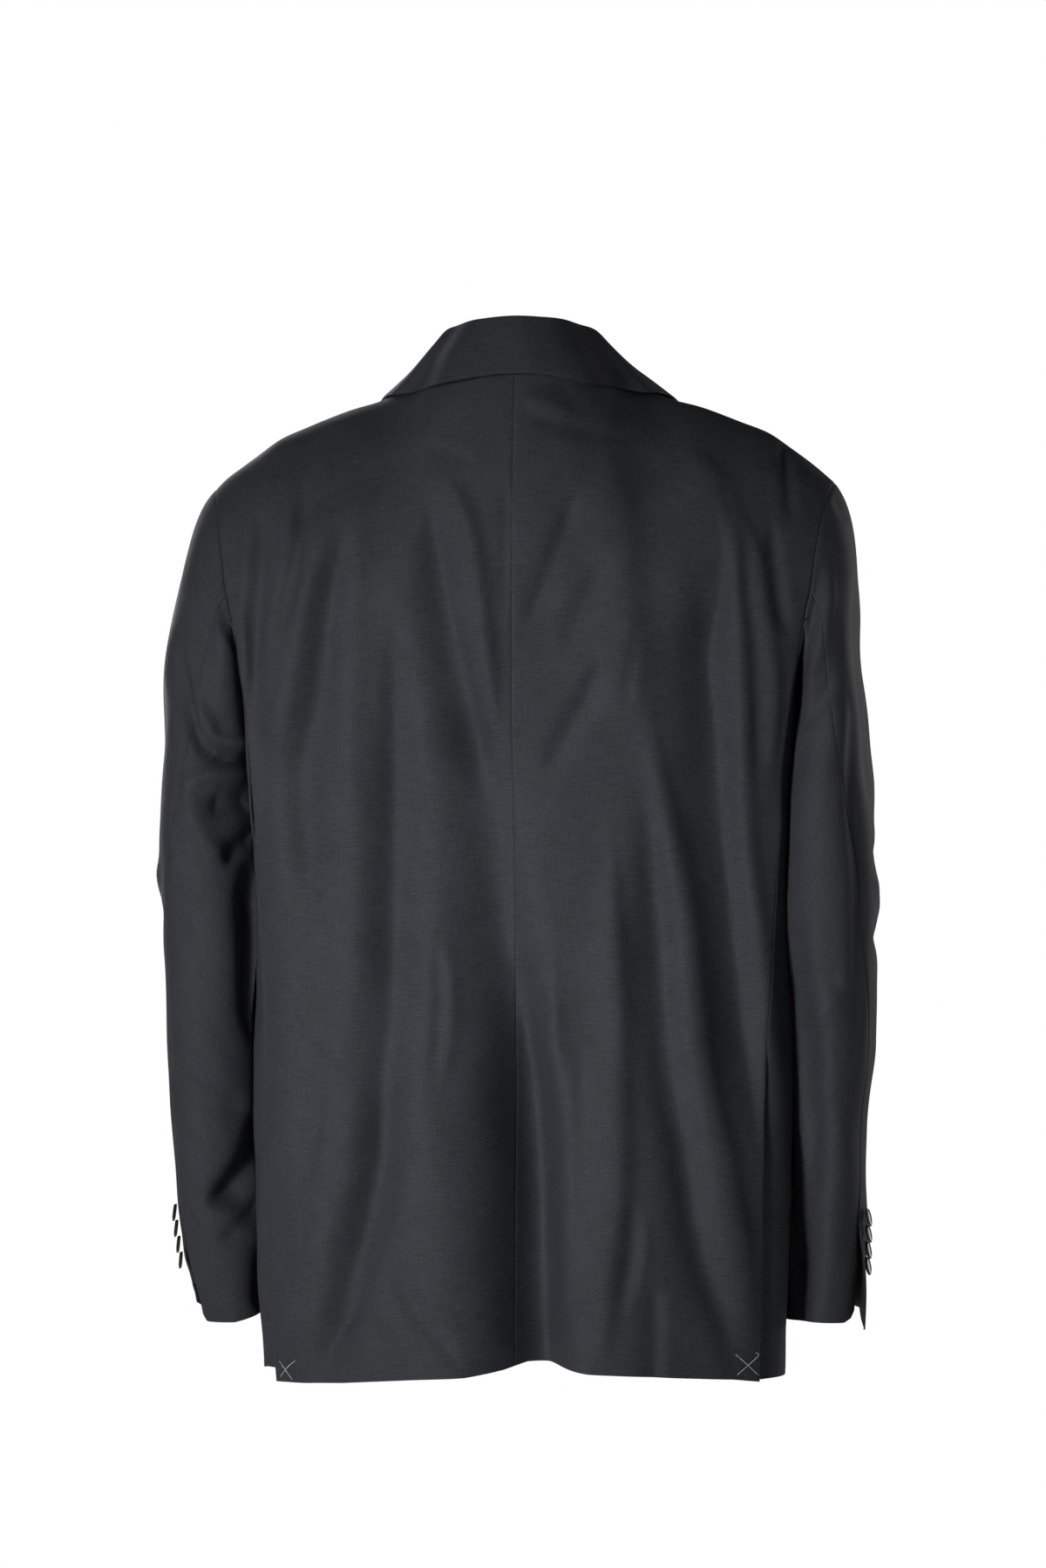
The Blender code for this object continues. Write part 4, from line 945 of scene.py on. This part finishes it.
def shell(name, outer, inner, materials):
    """A closed thin shell between two grids; materials are the outside's and the inside's."""
    rows, columns = outer.shape[:2]
    vertices = np.concatenate([outer.reshape(-1, 3), inner.reshape(-1, 3)])
    index = np.arange(rows * columns).reshape(rows, columns)
    a, b, c, d = index[:-1, :-1], index[:-1, 1:], index[1:, 1:], index[1:, :-1]
    quads = np.stack([a, b, c, d], axis=-1).reshape(-1, 4)
    shift = rows * columns
    rim = np.concatenate([index[0, :-1], index[:-1, -1], index[-1, :0:-1], index[:0:-1, 0]])
    following = np.roll(rim, -1)
    sides = np.stack([rim, rim + shift, following + shift, following], axis=-1)
    faces = np.concatenate([quads, quads[:, ::-1] + shift, sides])
    r, c = rows // 2, columns // 2
    turn = np.cross(outer[r, c + 1] - outer[r, c - 1], outer[r + 1, c] - outer[r - 1, c])
    if turn @ (outer[r, c] - inner[r, c]) < 0:
        faces = faces[:, ::-1]
    along, down = lengths(outer)
    uv = np.stack([along - along[:, c : c + 1], down], axis=-1).reshape(-1, 2)
    uv = np.concatenate([uv, uv])
    which = np.zeros(len(faces), dtype=int)
    which[len(quads) : 2 * len(quads)] = 1
    return add_mesh(name, vertices, faces, uv, materials, which)


SEAM_DIP = 0.0005
SEAM_WIDTH = 0.0012
SEAM_HALF = 0.00022
SEAM_LAP = 0.0009  # the allowances that lie behind a seam


def dipped(grid, normals, edges):
    """The grid let in along its sewn edges."""
    distance = edge_distance(grid, edges)
    return grid - normals * (SEAM_DIP * np.exp(-((distance / SEAM_WIDTH) ** 2)))[..., None]


def moved_edges(grid, edges, distance):
    """The grid with its named edges moved in by a distance, or out if it is negative."""
    result = grid.copy()
    share = distance / TIGHT[1]
    if "first" in edges:
        result[:, 0] = mix(grid[:, 0], grid[:, 1], share)
    if "last" in edges:
        result[:, -1] = mix(grid[:, -1], grid[:, -2], share)
    if "low" in edges:
        result[0] = mix(result[0], result[1], share)
    return result


# ---------------------------------------------------------------- materials
class Nodes:
    """A material's nodes, with short ways to write them."""

    def __init__(self, name):
        self.material = bpy.data.materials.new(name)
        self.material.use_nodes = True
        self.tree = self.material.node_tree
        self.shader = self.tree.nodes["Principled BSDF"]

    def fill(self, node, inputs):
        """The node's inputs get their values, or links where a value is another's output."""
        for key, value in inputs.items():
            if isinstance(value, bpy.types.NodeSocket):
                self.tree.links.new(value, node.inputs[key])
            else:
                node.inputs[key].default_value = value

    def new(self, kind, inputs, **settings):
        node = self.tree.nodes.new("ShaderNode" + kind)
        for key, value in settings.items():
            setattr(node, key, value)
        self.fill(node, inputs)
        return node

    def maths(self, operation, *values):
        return self.new("Math", dict(enumerate(values)), operation=operation).outputs[0]

    def scaled(self, value, factor, plus):
        return self.maths("MULTIPLY_ADD", value, factor, plus)

    def cloth_uv(self):
        return self.new("UVMap", {}, uv_map="cloth").outputs["UV"]

    def place(self):
        return self.new("TexCoord", {}).outputs["Object"]

    def noise(self, vector, scale, detail, rough, stretch=None):
        """Noise at a scale, or at a scale of 1 in a stretched space."""
        if stretch:
            vector = self.new("VectorMath", {0: vector, 1: stretch}, operation="MULTIPLY").outputs[0]
        inputs = {"Scale": scale, "Detail": detail, "Roughness": rough, "Vector": vector}
        return self.new("TexNoise", inputs).outputs["Fac"]

    def paint(self, share, dark, light, **inputs):
        """The shader's colour between two by a share, and its other inputs."""
        colours = {"Factor": share, 6: (*dark, 1), 7: (*light, 1)}
        blend = self.new("Mix", colours, data_type="RGBA")
        self.fill(self.shader, {"Base Color": blend.outputs[2]})
        self.fill(self.shader, {key.replace("_", " "): value for key, value in inputs.items()})
        return self.material


THREAD = 0.00056  # from one thread of the weave to the next


def cloth_material(name, dark, light, roughness, sheen):
    """A fine plain weave of two threads in slightly different greys, with slubs."""
    nodes = Nodes(name)
    uv = nodes.cloth_uv()
    split = nodes.new("SeparateXYZ", {0: uv})
    waves = [nodes.maths("MULTIPLY", split.outputs[axis], math.pi / THREAD) for axis in "XY"]
    weave = nodes.maths("MULTIPLY", *[nodes.maths("SINE", wave) for wave in waves])
    warp = nodes.noise(uv, 1.0, 3.0, 0.6, (1500, 60, 1))
    weft = nodes.noise(uv, 1.0, 3.0, 0.6, (60, 1500, 1))
    speck = nodes.noise(uv, 850, 2.0, 0.7)
    broad = nodes.noise(uv, 26, 3.0, 0.5)
    tone = 0.0
    for part, share in ((weave, 0.10), (warp, 0.55), (weft, 0.75), (speck, 0.70), (broad, 0.20)):
        tone = nodes.scaled(part, share, tone)
    height = 0.0
    for part, share in ((weave, 0.5), (speck, 1.2), (weft, 0.8)):
        height = nodes.scaled(part, share, height)
    bump = nodes.new("Bump", {"Strength": 0.22, "Distance": 0.0004, "Height": height})
    return nodes.paint(
        nodes.scaled(tone, 1.8, -1.5),
        dark,
        light,
        Roughness=nodes.scaled(speck, 0.16, roughness - 0.08),
        Normal=bump.outputs["Normal"],
        Specular_IOR_Level=0.2,
        Sheen_Weight=sheen,
        Sheen_Roughness=0.45,
        Sheen_Tint=(0.55, 0.62, 0.72, 1),
    )


def lining_material():
    nodes = Nodes("lining_satin")
    uv = nodes.cloth_uv()
    threads = nodes.noise(uv, 1.0, 2.0, 0.5, (2200, 90, 1))
    tone = nodes.scaled(nodes.noise(uv, 30, 3.0, 0.5), 0.5, nodes.maths("MULTIPLY", threads, 0.5))
    return nodes.paint(tone, (0.012, 0.013, 0.016), (0.030, 0.032, 0.037), Roughness=0.38)


def horn_material():
    nodes = Nodes("button_horn_polished")
    place = nodes.place()
    streaks = nodes.noise(place, 1.0, 4.0, 0.6, (180, 420, 180))
    tone = nodes.scaled(nodes.noise(place, 160, 2.0, 0.5), 0.6, nodes.maths("MULTIPLY", streaks, 0.7))
    return nodes.paint(
        nodes.scaled(tone, 1.6, -0.55),
        (0.010, 0.007, 0.006),
        (0.060, 0.036, 0.022),
        Roughness=nodes.scaled(streaks, 0.15, 0.18),
        Coat_Weight=0.4,
        Coat_Roughness=0.12,
    )


def thread_material(name, colour, roughness):
    nodes = Nodes(name)
    twist = nodes.noise(nodes.place(), 2400, 2.0, 0.5)
    return nodes.paint(twist, [0.6 * c for c in colour], colour, Roughness=roughness)


CLOTH_DARK = (0.027, 0.0285, 0.0345)
CLOTH_LIGHT = (0.072, 0.0760, 0.0900)
CLOTH_LOOK = cloth_material("suit_plain_weave", CLOTH_DARK, CLOTH_LIGHT, 0.66, 0.02)
LINING_LOOK = lining_material()
HORN_LOOK = horn_material()
WHITE_LOOK = thread_material("white_basting_thread", (0.80, 0.80, 0.78), 0.8)
STITCH_LOOK = thread_material("silk_stitch_thread", (0.150, 0.155, 0.170), 0.5)
BOTH = (CLOTH_LOOK, LINING_LOOK)
CLOTH_BOTH = (CLOTH_LOOK, CLOTH_LOOK)


surfaces = {}  # each node's outer grid and its normals


def finished(thing, nodes):
    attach(thing, "root")
    if nodes:
        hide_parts(*nodes)


# ---------------------------------------------------------------- the body and sleeves
def average_edges(first, second):
    """Two lines of normals along one seam become the same."""
    both = unit(first + second)
    first[...] = both
    second[...] = both


BACK_PRESSED = (0.040, 0.075)  # the depths between which the body's pressed places fade in
SLEEVE_PRESSED = (-0.010, 0.020)
VENT_SPREAD = ((0, 1, 2, 3), (1, 0.45, 0.12, 0))  # the vent's pull, by places away from it
VENT_EDGE = {"under_sleeve": ("first",), "top_sleeve": ("last",)}
CUFF_FLARE_TO = 0.12
CUFF_LAP_TO = 0.10
CUFF_LAP_SPREAD = ((0, 2.5), (1, 0))
CALM_END = {"back": 0.020, "front": 0.020, "side": 0.030, "under_sleeve": 0.014, "top_sleeve": 0.014}
CALM_ARMHOLE = {"back": ("last",), "front": ("first",)}
CALM_ARMHOLE_WIDTH = 0.012
CALM_ARMHOLE_START = 0.05


def cut_cuff(side, name, grid, normals, wanted):
    """The vent's edge flared, tucked in or lapped, and the cuff's end cut."""
    apart = np.abs((wanted % LOOP) - HIND)
    amount = CUFF_FLARE[side] if name == "top_sleeve" else -CUFF_TUCK
    depth = ease(CUFF_VENT_Z - grid[..., 2], CUFF_FLARE_FROM[side], CUFF_FLARE_TO)
    grid = grid + normals * (amount * depth * np.interp(apart, *VENT_SPREAD))[..., None]
    from_vent = edge_distance(grid, VENT_EDGE[name])[-1]
    rise = 0.001 * np.interp(from_vent * 1000, *zip(*CUFF_CUT[name, side]))
    grid[..., 2] += rise * (1 - ease(grid[..., 2] - grid[-1:, :, 2], 0.0, CUFF_REACH))
    if name == "top_sleeve":
        along = unit(grid[:, -1] - grid[:, -4])
        lap = CUFF_LAP[side] * ease(CUFF_VENT_Z - grid[:, -1:, 2], 0.0, CUFF_LAP_TO)
        grid = grid + along[:, None] * (lap * np.interp(apart, *CUFF_LAP_SPREAD))[..., None]
    return grid


def add_piece(name, word, grid, normals, edges):
    """A panel or sleeve draped, calm at its sewn ends, let in at its seams and given its shell."""
    on_sleeve = "sleeve" in name
    height = drape_height(grid, normals, "back" if on_sleeve else "sleeve")
    if name in CALM_ARMHOLE:
        armhole = edge_distance(grid, CALM_ARMHOLE[name])
        above = ease(grid[..., 2], NOTCH_Z - CALM_ARMHOLE_START, NOTCH_Z)
        height = height * (1 - above * (1 - ease(armhole, 0.0, CALM_ARMHOLE_WIDTH)))
    end = edge_distance(grid, ("low" if on_sleeve else "high",))
    height = height * ease(end, 0.0, CALM_END[name])
    outer = leaned(dipped(grid + normals * height[..., None], normals, edges))
    out = grid_normals(outer, normals)
    inner = moved_edges(outer - out * SHELL, edges, -SEAM_LAP)
    outer = moved_edges(outer, edges, SEAM_HALF)
    finished(shell(f"cloth_{name}_{word}", outer, inner, BOTH), [f"{name}_{word}"])
    surfaces[f"{name}_{word}"] = (outer, out)


def build_side(side, word):
    back = pressed("body", side, back_grid(side), *BACK_PRESSED)
    side_body = pressed("body", side, side_grid(side), *BACK_PRESSED)
    front = front_grid(side)
    back_n = grid_normals(back, np.array([0.0, 1.0, 0.0]))
    side_n = grid_normals(side_body, np.array([side, 0.0, 0.0]))
    front_n = grid_normals(front, np.array([0.0, -1.0, 0.0]))
    back_n[:, 0, 0] = 0
    back_n = unit(back_n)
    average_edges(back_n[: NOTCH_ROW + 1, -1], side_n[:, 0])
    average_edges(side_n[:, -1], front_n[: NOTCH_ROW + 1, 0])
    add_piece("back", word, back, back_n, ("first", "last", "high"))
    add_piece("side", word, side_body, side_n, ("first", "last", "high"))
    add_piece("front", word, front, front_n, ("first", "high"))
    loop, places = armhole_loop(back, side_body, front)
    under_places = mix(HIND, FORE, spread(64, 0.22))
    top_places = mix(FORE, LOOP + HIND, spread(70, 0.26))
    for name, wanted in (("under_sleeve", under_places), ("top_sleeve", top_places)):
        grid = pressed("sleeve", side, sleeve_grid(side, loop, places, wanted), *SLEEVE_PRESSED)
        towards = grid - np.array([side * 0.245, -0.02, 0.0])
        towards[..., 2] = 0
        normals = grid_normals(grid, towards)
        grid = cut_cuff(side, name, grid, normals, wanted)
        add_piece(name, word, grid, normals, ("low", "first", "last"))


WORDS = {1: "left", -1: "right"}
for side, word in WORDS.items():
    build_side(side, word)


# ---------------------------------------------------------------- collar, lapels and pockets
def row_share(height):
    return (height - HEM_SIDE) / (SHOULDER_Z - HEM_SIDE)


def collar_column(index):
    """A collar section on the left half: the neck seam, the fold and the fall's edge."""
    shape = COLLAR[index]
    beyond = index - 5  # sections past the shoulder seam
    if shape.share is not None:
        x = shape.share * NECK_HALF
        seam = np.array([x, float(neck_depth(x)), float(shoulder_top(x)) + COLLAR_RAISED])
        seam[:2] *= COLLAR_DRAWN_IN
    else:
        angle = mix(NOTCH_ANGLE, math.pi / 2, (8 - beyond) / 8)
        height = ARMHOLE_Z + ARMHOLE_HALF_HEIGHT * math.sin(angle)
        z = float(mix(hem_front(0.0), 0.0, row_share(height)))
        x = float(roll_x(z))
        seam = on_front(x - COLLAR_RAISED, z, 1, CLOTH + LAID_GAP + COLLAR_RAISED)
    inwards = unit(np.array([seam[0], seam[1] * 0.6, 0.0]))
    fold = seam - inwards * shape.fold_in + np.array([0, 0, shape.stand])
    if beyond > 0:
        lean = float(ease(beyond, 0, 4))
        fold = seam + mix(np.array([0, 0, 1.0]), front_normal(x, z, 1), lean) * shape.stand
    if shape.edge_z > shoulder_top(shape.edge_x) - 0.001:
        edge = np.array([shape.edge_x, -0.004, shape.edge_z])
    elif beyond < 1:
        edge = on_back(shape.edge_x, shape.edge_z - COLLAR_EDGE_DROP, 1, CLOTH + COLLAR_EDGE_GAP)
    else:
        edge = on_front(shape.edge_x, shape.edge_z, 1, CLOTH + 2 * LAID_GAP + 0.001)
    return seam, fold, edge


def collar_line(index, depth):
    """A section from the neck seam over the fold to the fall's edge, at a depth in the wall."""
    seam, fold, edge = collar_column(index)
    up = unit(fold - seam)
    across = edge - fold
    across = unit(across - up * float(across @ up))
    turn = fold + across * COLLAR_FOLD
    fall = unit(edge - turn)
    out = unit(up - fall * float(up @ fall))
    base = seam + across * depth
    top = fold + (across - up) * depth
    crown = mix(fold, turn, 0.5) + up * (COLLAR_CROWN - depth)
    over = turn - (across + up) * depth
    end = edge - out * depth
    line = [mix(base, top, k / COLLAR_STAND_ROWS) for k in range(COLLAR_STAND_ROWS + 1)]
    line.append(crown)
    for k in range(COLLAR_FALL_ROWS + 1):
        t = k / COLLAR_FALL_ROWS
        line.append(mix(over, end, t) + np.array([0, 0, FALL_SWELL * math.sin(math.pi * t)]))
    return np.array(line)


def finer_line(line, shares):
    """The line's points at shares of its rows, without overshoot at the fold."""
    rows = np.arange(len(line))
    return np.stack([smooth(shares * rows[-1], rows, line[:, k]) for k in range(3)], axis=-1)


def collar_grid(depth):
    """Rows from the neck seam to the fall's edge, columns from left to right."""
    shares = np.linspace(0, 1, COLLAR_FINE_ROWS)
    left = np.array([finer_line(collar_line(k, depth), shares) for k in range(len(COLLAR))])
    right = left[:0:-1] * np.array([-1.0, 1.0, 1.0])
    whole = np.concatenate([left[::-1], right[::-1]], axis=0)
    return np.swapaxes(spline(whole, COLLAR_FINE_COLUMNS), 0, 1)


def build_collar():
    grid = collar_grid(0.0)
    inner = collar_grid(CLOTH)
    outwards = unit(grid - inner)
    height = drape_height(grid, grid_normals(grid, outwards))
    move = outwards * height[..., None]
    outer = leaned(grid + move)
    finished(shell("cloth_collar", outer, leaned(inner + move), CLOTH_BOTH), ["collar"])
    surfaces["collar"] = (outer, grid_normals(outer, outwards))


def lay_on_front(name, node, side, x, z, puff):
    """A thin piece laid on the front, with a lift of its own."""
    grid = on_front(x, z, side, CLOTH + LAID_GAP + puff)
    normals = grid_normals(grid, np.array([0.0, -1.0, 0.0]))
    outer = leaned(grid)
    finished(shell(name, outer, outer - normals * LAID_SHELL, CLOTH_BOTH), [node])
    surfaces[node] = (outer, normals)


def build_lapel(side, word):
    v = np.linspace(0, 1, 90)[:, None]
    t = np.linspace(0, 1, 30)[None, :]
    roll_z = mix(LAPEL_START_Z, GORGE_Z, v)
    outer_z = mix(LAPEL_START_Z, LAPEL_TIP_Z, v)
    outer_x = LAPEL_START_X + (LAPEL_TIP_X - LAPEL_START_X) * np.maximum(v, 0.02) ** LAPEL_BELLY
    x = mix(roll_x(roll_z), outer_x, t)
    puff = LAPEL_PUFF * np.sin(math.pi * t) * v
    lay_on_front(f"cloth_lapel_{word}", f"lapel_{word}", side, x, mix(roll_z, outer_z, t), puff)


def build_patch(name, node, side, x, z, width, drop, rise):
    t = np.linspace(0, 1, 44)[None, :]
    down = np.linspace(1, 0, 24)[:, None]
    crown = PATCH_CROWN * np.sin(math.pi * t) * np.sin(math.pi * down)
    lay_on_front(name, node, side, x + width * t, z + rise * t - drop * down, crown)


build_collar()
for side, word in WORDS.items():
    build_lapel(side, word)
    flap = (FLAP_X, FLAP_Z, FLAP_WIDTH, FLAP_DROP, 0.0)
    build_patch(f"cloth_flap_{word}", f"pocket_flap_{word}", side, *flap)
build_patch("cloth_welt", "breast_welt", 1, WELT_X, WELT_Z, WELT_WIDTH, WELT_DROP, WELT_RISE)

for name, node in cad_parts.items():
    if "button" in name:
        node.data.materials.clear()
        node.data.materials.append(HORN_LOOK)


# ---------------------------------------------------------------- threads
THREAD_END = 0.45  # the share of its radius that a thread keeps at its ends


def tube(name, lines, radius, material, sides):
    """Round threads along lines of points, in one mesh."""
    vertices, faces = [], []
    angles = 2 * math.pi * np.arange(sides) / sides
    for line in lines:
        along = unit(np.gradient(line, axis=0))
        first = unit(np.cross(along, np.array([0.3, 0.2, 0.93])))
        second = np.cross(along, first)
        start = len(vertices)
        last = len(line) - 1
        for k, place in enumerate(line):
            size = radius * (THREAD_END if k in (0, last) else 1.0)
            for angle in angles:
                vertices.append(place + size * (math.cos(angle) * first[k] + math.sin(angle) * second[k]))
        for k in range(last):
            for s in range(sides):
                a = start + k * sides + s
                b = start + k * sides + (s + 1) % sides
                faces.append((a, b, b + sides, a + sides))
        faces.append(tuple(range(start + sides - 1, start - 1, -1)))
        faces.append(tuple(range(start + last * sides, start + last * sides + sides)))
    return add_mesh(name, np.array(vertices), faces, None, (material,), None, 80)


def on_surface(node, pixel, lift):
    """The place of a node's surface that the picture shows at a pixel, moved out by lift."""
    grid, normals = surfaces[node]
    seen = to_picture(grid)
    gap = np.hypot(seen[..., 0] - pixel[0], seen[..., 1] - pixel[1]).ravel()
    order = np.argsort(gap)[:4]
    weight = 1 / (gap[order] + 1e-3)
    weight /= weight.sum()
    place = (grid.reshape(-1, 3)[order] * weight[:, None]).sum(0)
    normal = unit((normals.reshape(-1, 3)[order] * weight[:, None]).sum(0))
    return place + normal * lift


BASTING = (
    ("back_left", ((320.7, 1560.7), (328, 1571), (335, 1582.7))),
    ("back_left", ((339, 1560), (331, 1570), (321.7, 1580))),
    ("back_right", ((843, 1554), (856, 1565), (870, 1577))),
    ("back_right", ((866.5, 1552), (868.5, 1555), (858, 1566), (846, 1577))),
)
BASTING_LIFT = 0.0007
BASTING_RADIUS = 0.00032


def build_basting():
    lines = []
    for node, pixels in BASTING:
        knots = [on_surface(node, pixel, BASTING_LIFT) for pixel in pixels]
        knots[0] = on_surface(node, pixels[0], 0.0)
        knots[-1] = on_surface(node, pixels[-1], 0.0)
        lines.append(spline(knots, 16))
    finished(tube("basting_crosses", lines, BASTING_RADIUS, WHITE_LOOK, 8), [])


build_basting()


def beside_edge(node, edge, distance):
    """The line that runs on a node's surface beside one of its edges, with its normals."""
    grid, normals = surfaces[node]
    if edge in ("low", "high"):
        grid, normals = np.swapaxes(grid, 0, 1), np.swapaxes(normals, 0, 1)
    if edge in ("last", "high"):
        grid, normals = grid[:, ::-1], normals[:, ::-1]
    both = np.concatenate([grid, normals], axis=-1)
    return np.array([at_length(distance, run, row) for run, row in zip(lengths(grid)[0], both)])


PickRow = namedtuple("PickRow", "node edge distance pitch start end")
PICKS = (
    PickRow("back_left", "first", 0.0017, 0.0033, 0.000, 0.985),
    PickRow("collar", "high", 0.0016, 0.0027, 0.150, 0.850),
    PickRow("lapel_left", "last", 0.0020, 0.0030, 0.020, 0.980),
    PickRow("lapel_right", "last", 0.0020, 0.0030, 0.020, 0.980),
    PickRow("front_left", "last", 0.0020, 0.0030, 0.000, 0.440),
    PickRow("front_right", "last", 0.0020, 0.0030, 0.000, 0.440),
    PickRow("pocket_flap_left", "low", 0.0020, 0.0030, 0.020, 0.980),
    PickRow("pocket_flap_right", "low", 0.0020, 0.0030, 0.020, 0.980),
)
PICK_LENGTH = 0.0013
PICK_RADIUS = 0.00017
PICK_LIFT = 0.00010


def build_picks():
    lines = []
    for row in PICKS:
        line = beside_edge(row.node, row.edge, row.distance)
        run = lengths(line[None, :, :3])[0][0]
        low, high = row.start * run[-1] + row.pitch, row.end * run[-1] - row.pitch
        for middle in np.arange(low, high, row.pitch):
            places = at_length(middle + PICK_LENGTH * np.array([-0.5, 0.0, 0.5]), run, line)
            lift = PICK_LIFT * np.array([[-1.0], [1.0], [-1.0]])
            lines.append(places[:, :3] + unit(places[:, 3:]) * lift)
    finished(tube("pick_stitches", lines, PICK_RADIUS, STITCH_LOOK, 5), [])


build_picks()


# ---------------------------------------------------------------- a row type for the cuts of what shows, left unused
Cut = namedtuple("Cut", "piece width length area held rests_on")


# ---------------------------------------------------------------- studio
LightRow = namedtuple("LightRow", "name azimuth distance z target width height power")
MIDDLE = (0.0, 0.0, -0.42)
LIGHTS = (
    LightRow("key", 152, 3.0, -0.50, (-0.03, 0.0, -0.45), 0.8, 1.0, 1.85),
    LightRow("rim_left", 98, 3.0, -0.35, MIDDLE, 1.2, 1.8, 2.5),
    LightRow("rim_right", 270, 3.0, -0.35, MIDDLE, 1.2, 1.8, 3.5),
    LightRow("front_key", 20, 3.2, 0.3, MIDDLE, 1.8, 1.8, 60),
    LightRow("front_fill", 320, 3.2, 0.0, MIDDLE, 1.8, 1.8, 14),
)
KEY_SPREAD = math.radians(20)
WORLD_LIGHT = 0.055
FLOOR_GLOW = 0.5  # seen by the camera alone, so that the paper stays pale
FLOOR_Z = -1.45
FLOOR_RADIUS = 2.8
SENSOR = 36.0


def add_object(name, data, place, target):
    """An object at a place that looks at a target."""
    thing = bpy.data.objects.new(name, data)
    bpy.context.scene.collection.objects.link(thing)
    thing.location = place
    thing.rotation_euler = (Vector(target) - Vector(place)).to_track_quat("-Z", "Y").to_euler()
    return thing


def seen_or_not(tree, seen, unseen, socket):
    """A strength for what the camera sees and another for the light that it gives."""
    path = tree.nodes.new("ShaderNodeLightPath")
    strength = tree.nodes.new("ShaderNodeMapRange")
    strength.inputs["To Min"].default_value = unseen
    strength.inputs["To Max"].default_value = seen
    tree.links.new(path.outputs["Is Camera Ray"], strength.inputs["Value"])
    tree.links.new(strength.outputs["Result"], socket)


def add_lights():
    for row in LIGHTS:
        light = bpy.data.lights.new(row.name, "AREA")
        light.shape = "RECTANGLE"
        light.size = row.width
        light.size_y = row.height
        light.energy = row.power
        if row.name == "key":
            light.spread = KEY_SPREAD
        angle = math.radians(row.azimuth)
        place = (row.distance * math.sin(angle), -row.distance * math.cos(angle), row.z)
        add_object(row.name, light, place, row.target)


def add_floor():
    angles = [k * math.pi / 48 for k in range(96)]
    ring = [(FLOOR_RADIUS * math.cos(angle), FLOOR_RADIUS * math.sin(angle), FLOOR_Z) for angle in angles]
    floor = bpy.data.meshes.new("floor")
    floor.from_pydata(ring, [], [tuple(range(96))])
    thing = bpy.data.objects.new("floor", floor)
    bpy.context.scene.collection.objects.link(thing)
    paper = Nodes("floor_paper")
    paper.fill(paper.shader, {"Base Color": (0.86, 0.86, 0.86, 1), "Roughness": 0.9})
    paper.fill(paper.shader, {"Emission Color": (1, 1, 1, 1)})
    seen_or_not(paper.tree, FLOOR_GLOW, 0.0, paper.shader.inputs["Emission Strength"])
    floor.materials.append(paper.material)


def build_studio():
    add_lights()
    add_floor()
    world = bpy.data.worlds.new("studio")
    world.use_nodes = True
    background = world.node_tree.nodes["Background"]
    background.inputs["Color"].default_value = (1, 1, 1, 1)
    seen_or_not(world.node_tree, 1.0, WORLD_LIGHT, background.inputs["Strength"])
    scene = bpy.context.scene
    scene.world = world
    scene.view_settings.view_transform = "Standard"
    scene.view_settings.look = "None"
    camera = bpy.data.cameras.new("camera")
    camera.sensor_width = SENSOR
    camera.lens = SENSOR * DISTANCE / VIEW_HEIGHT
    scene.camera = add_object("camera", camera, CAMERA, AIM)


build_studio()
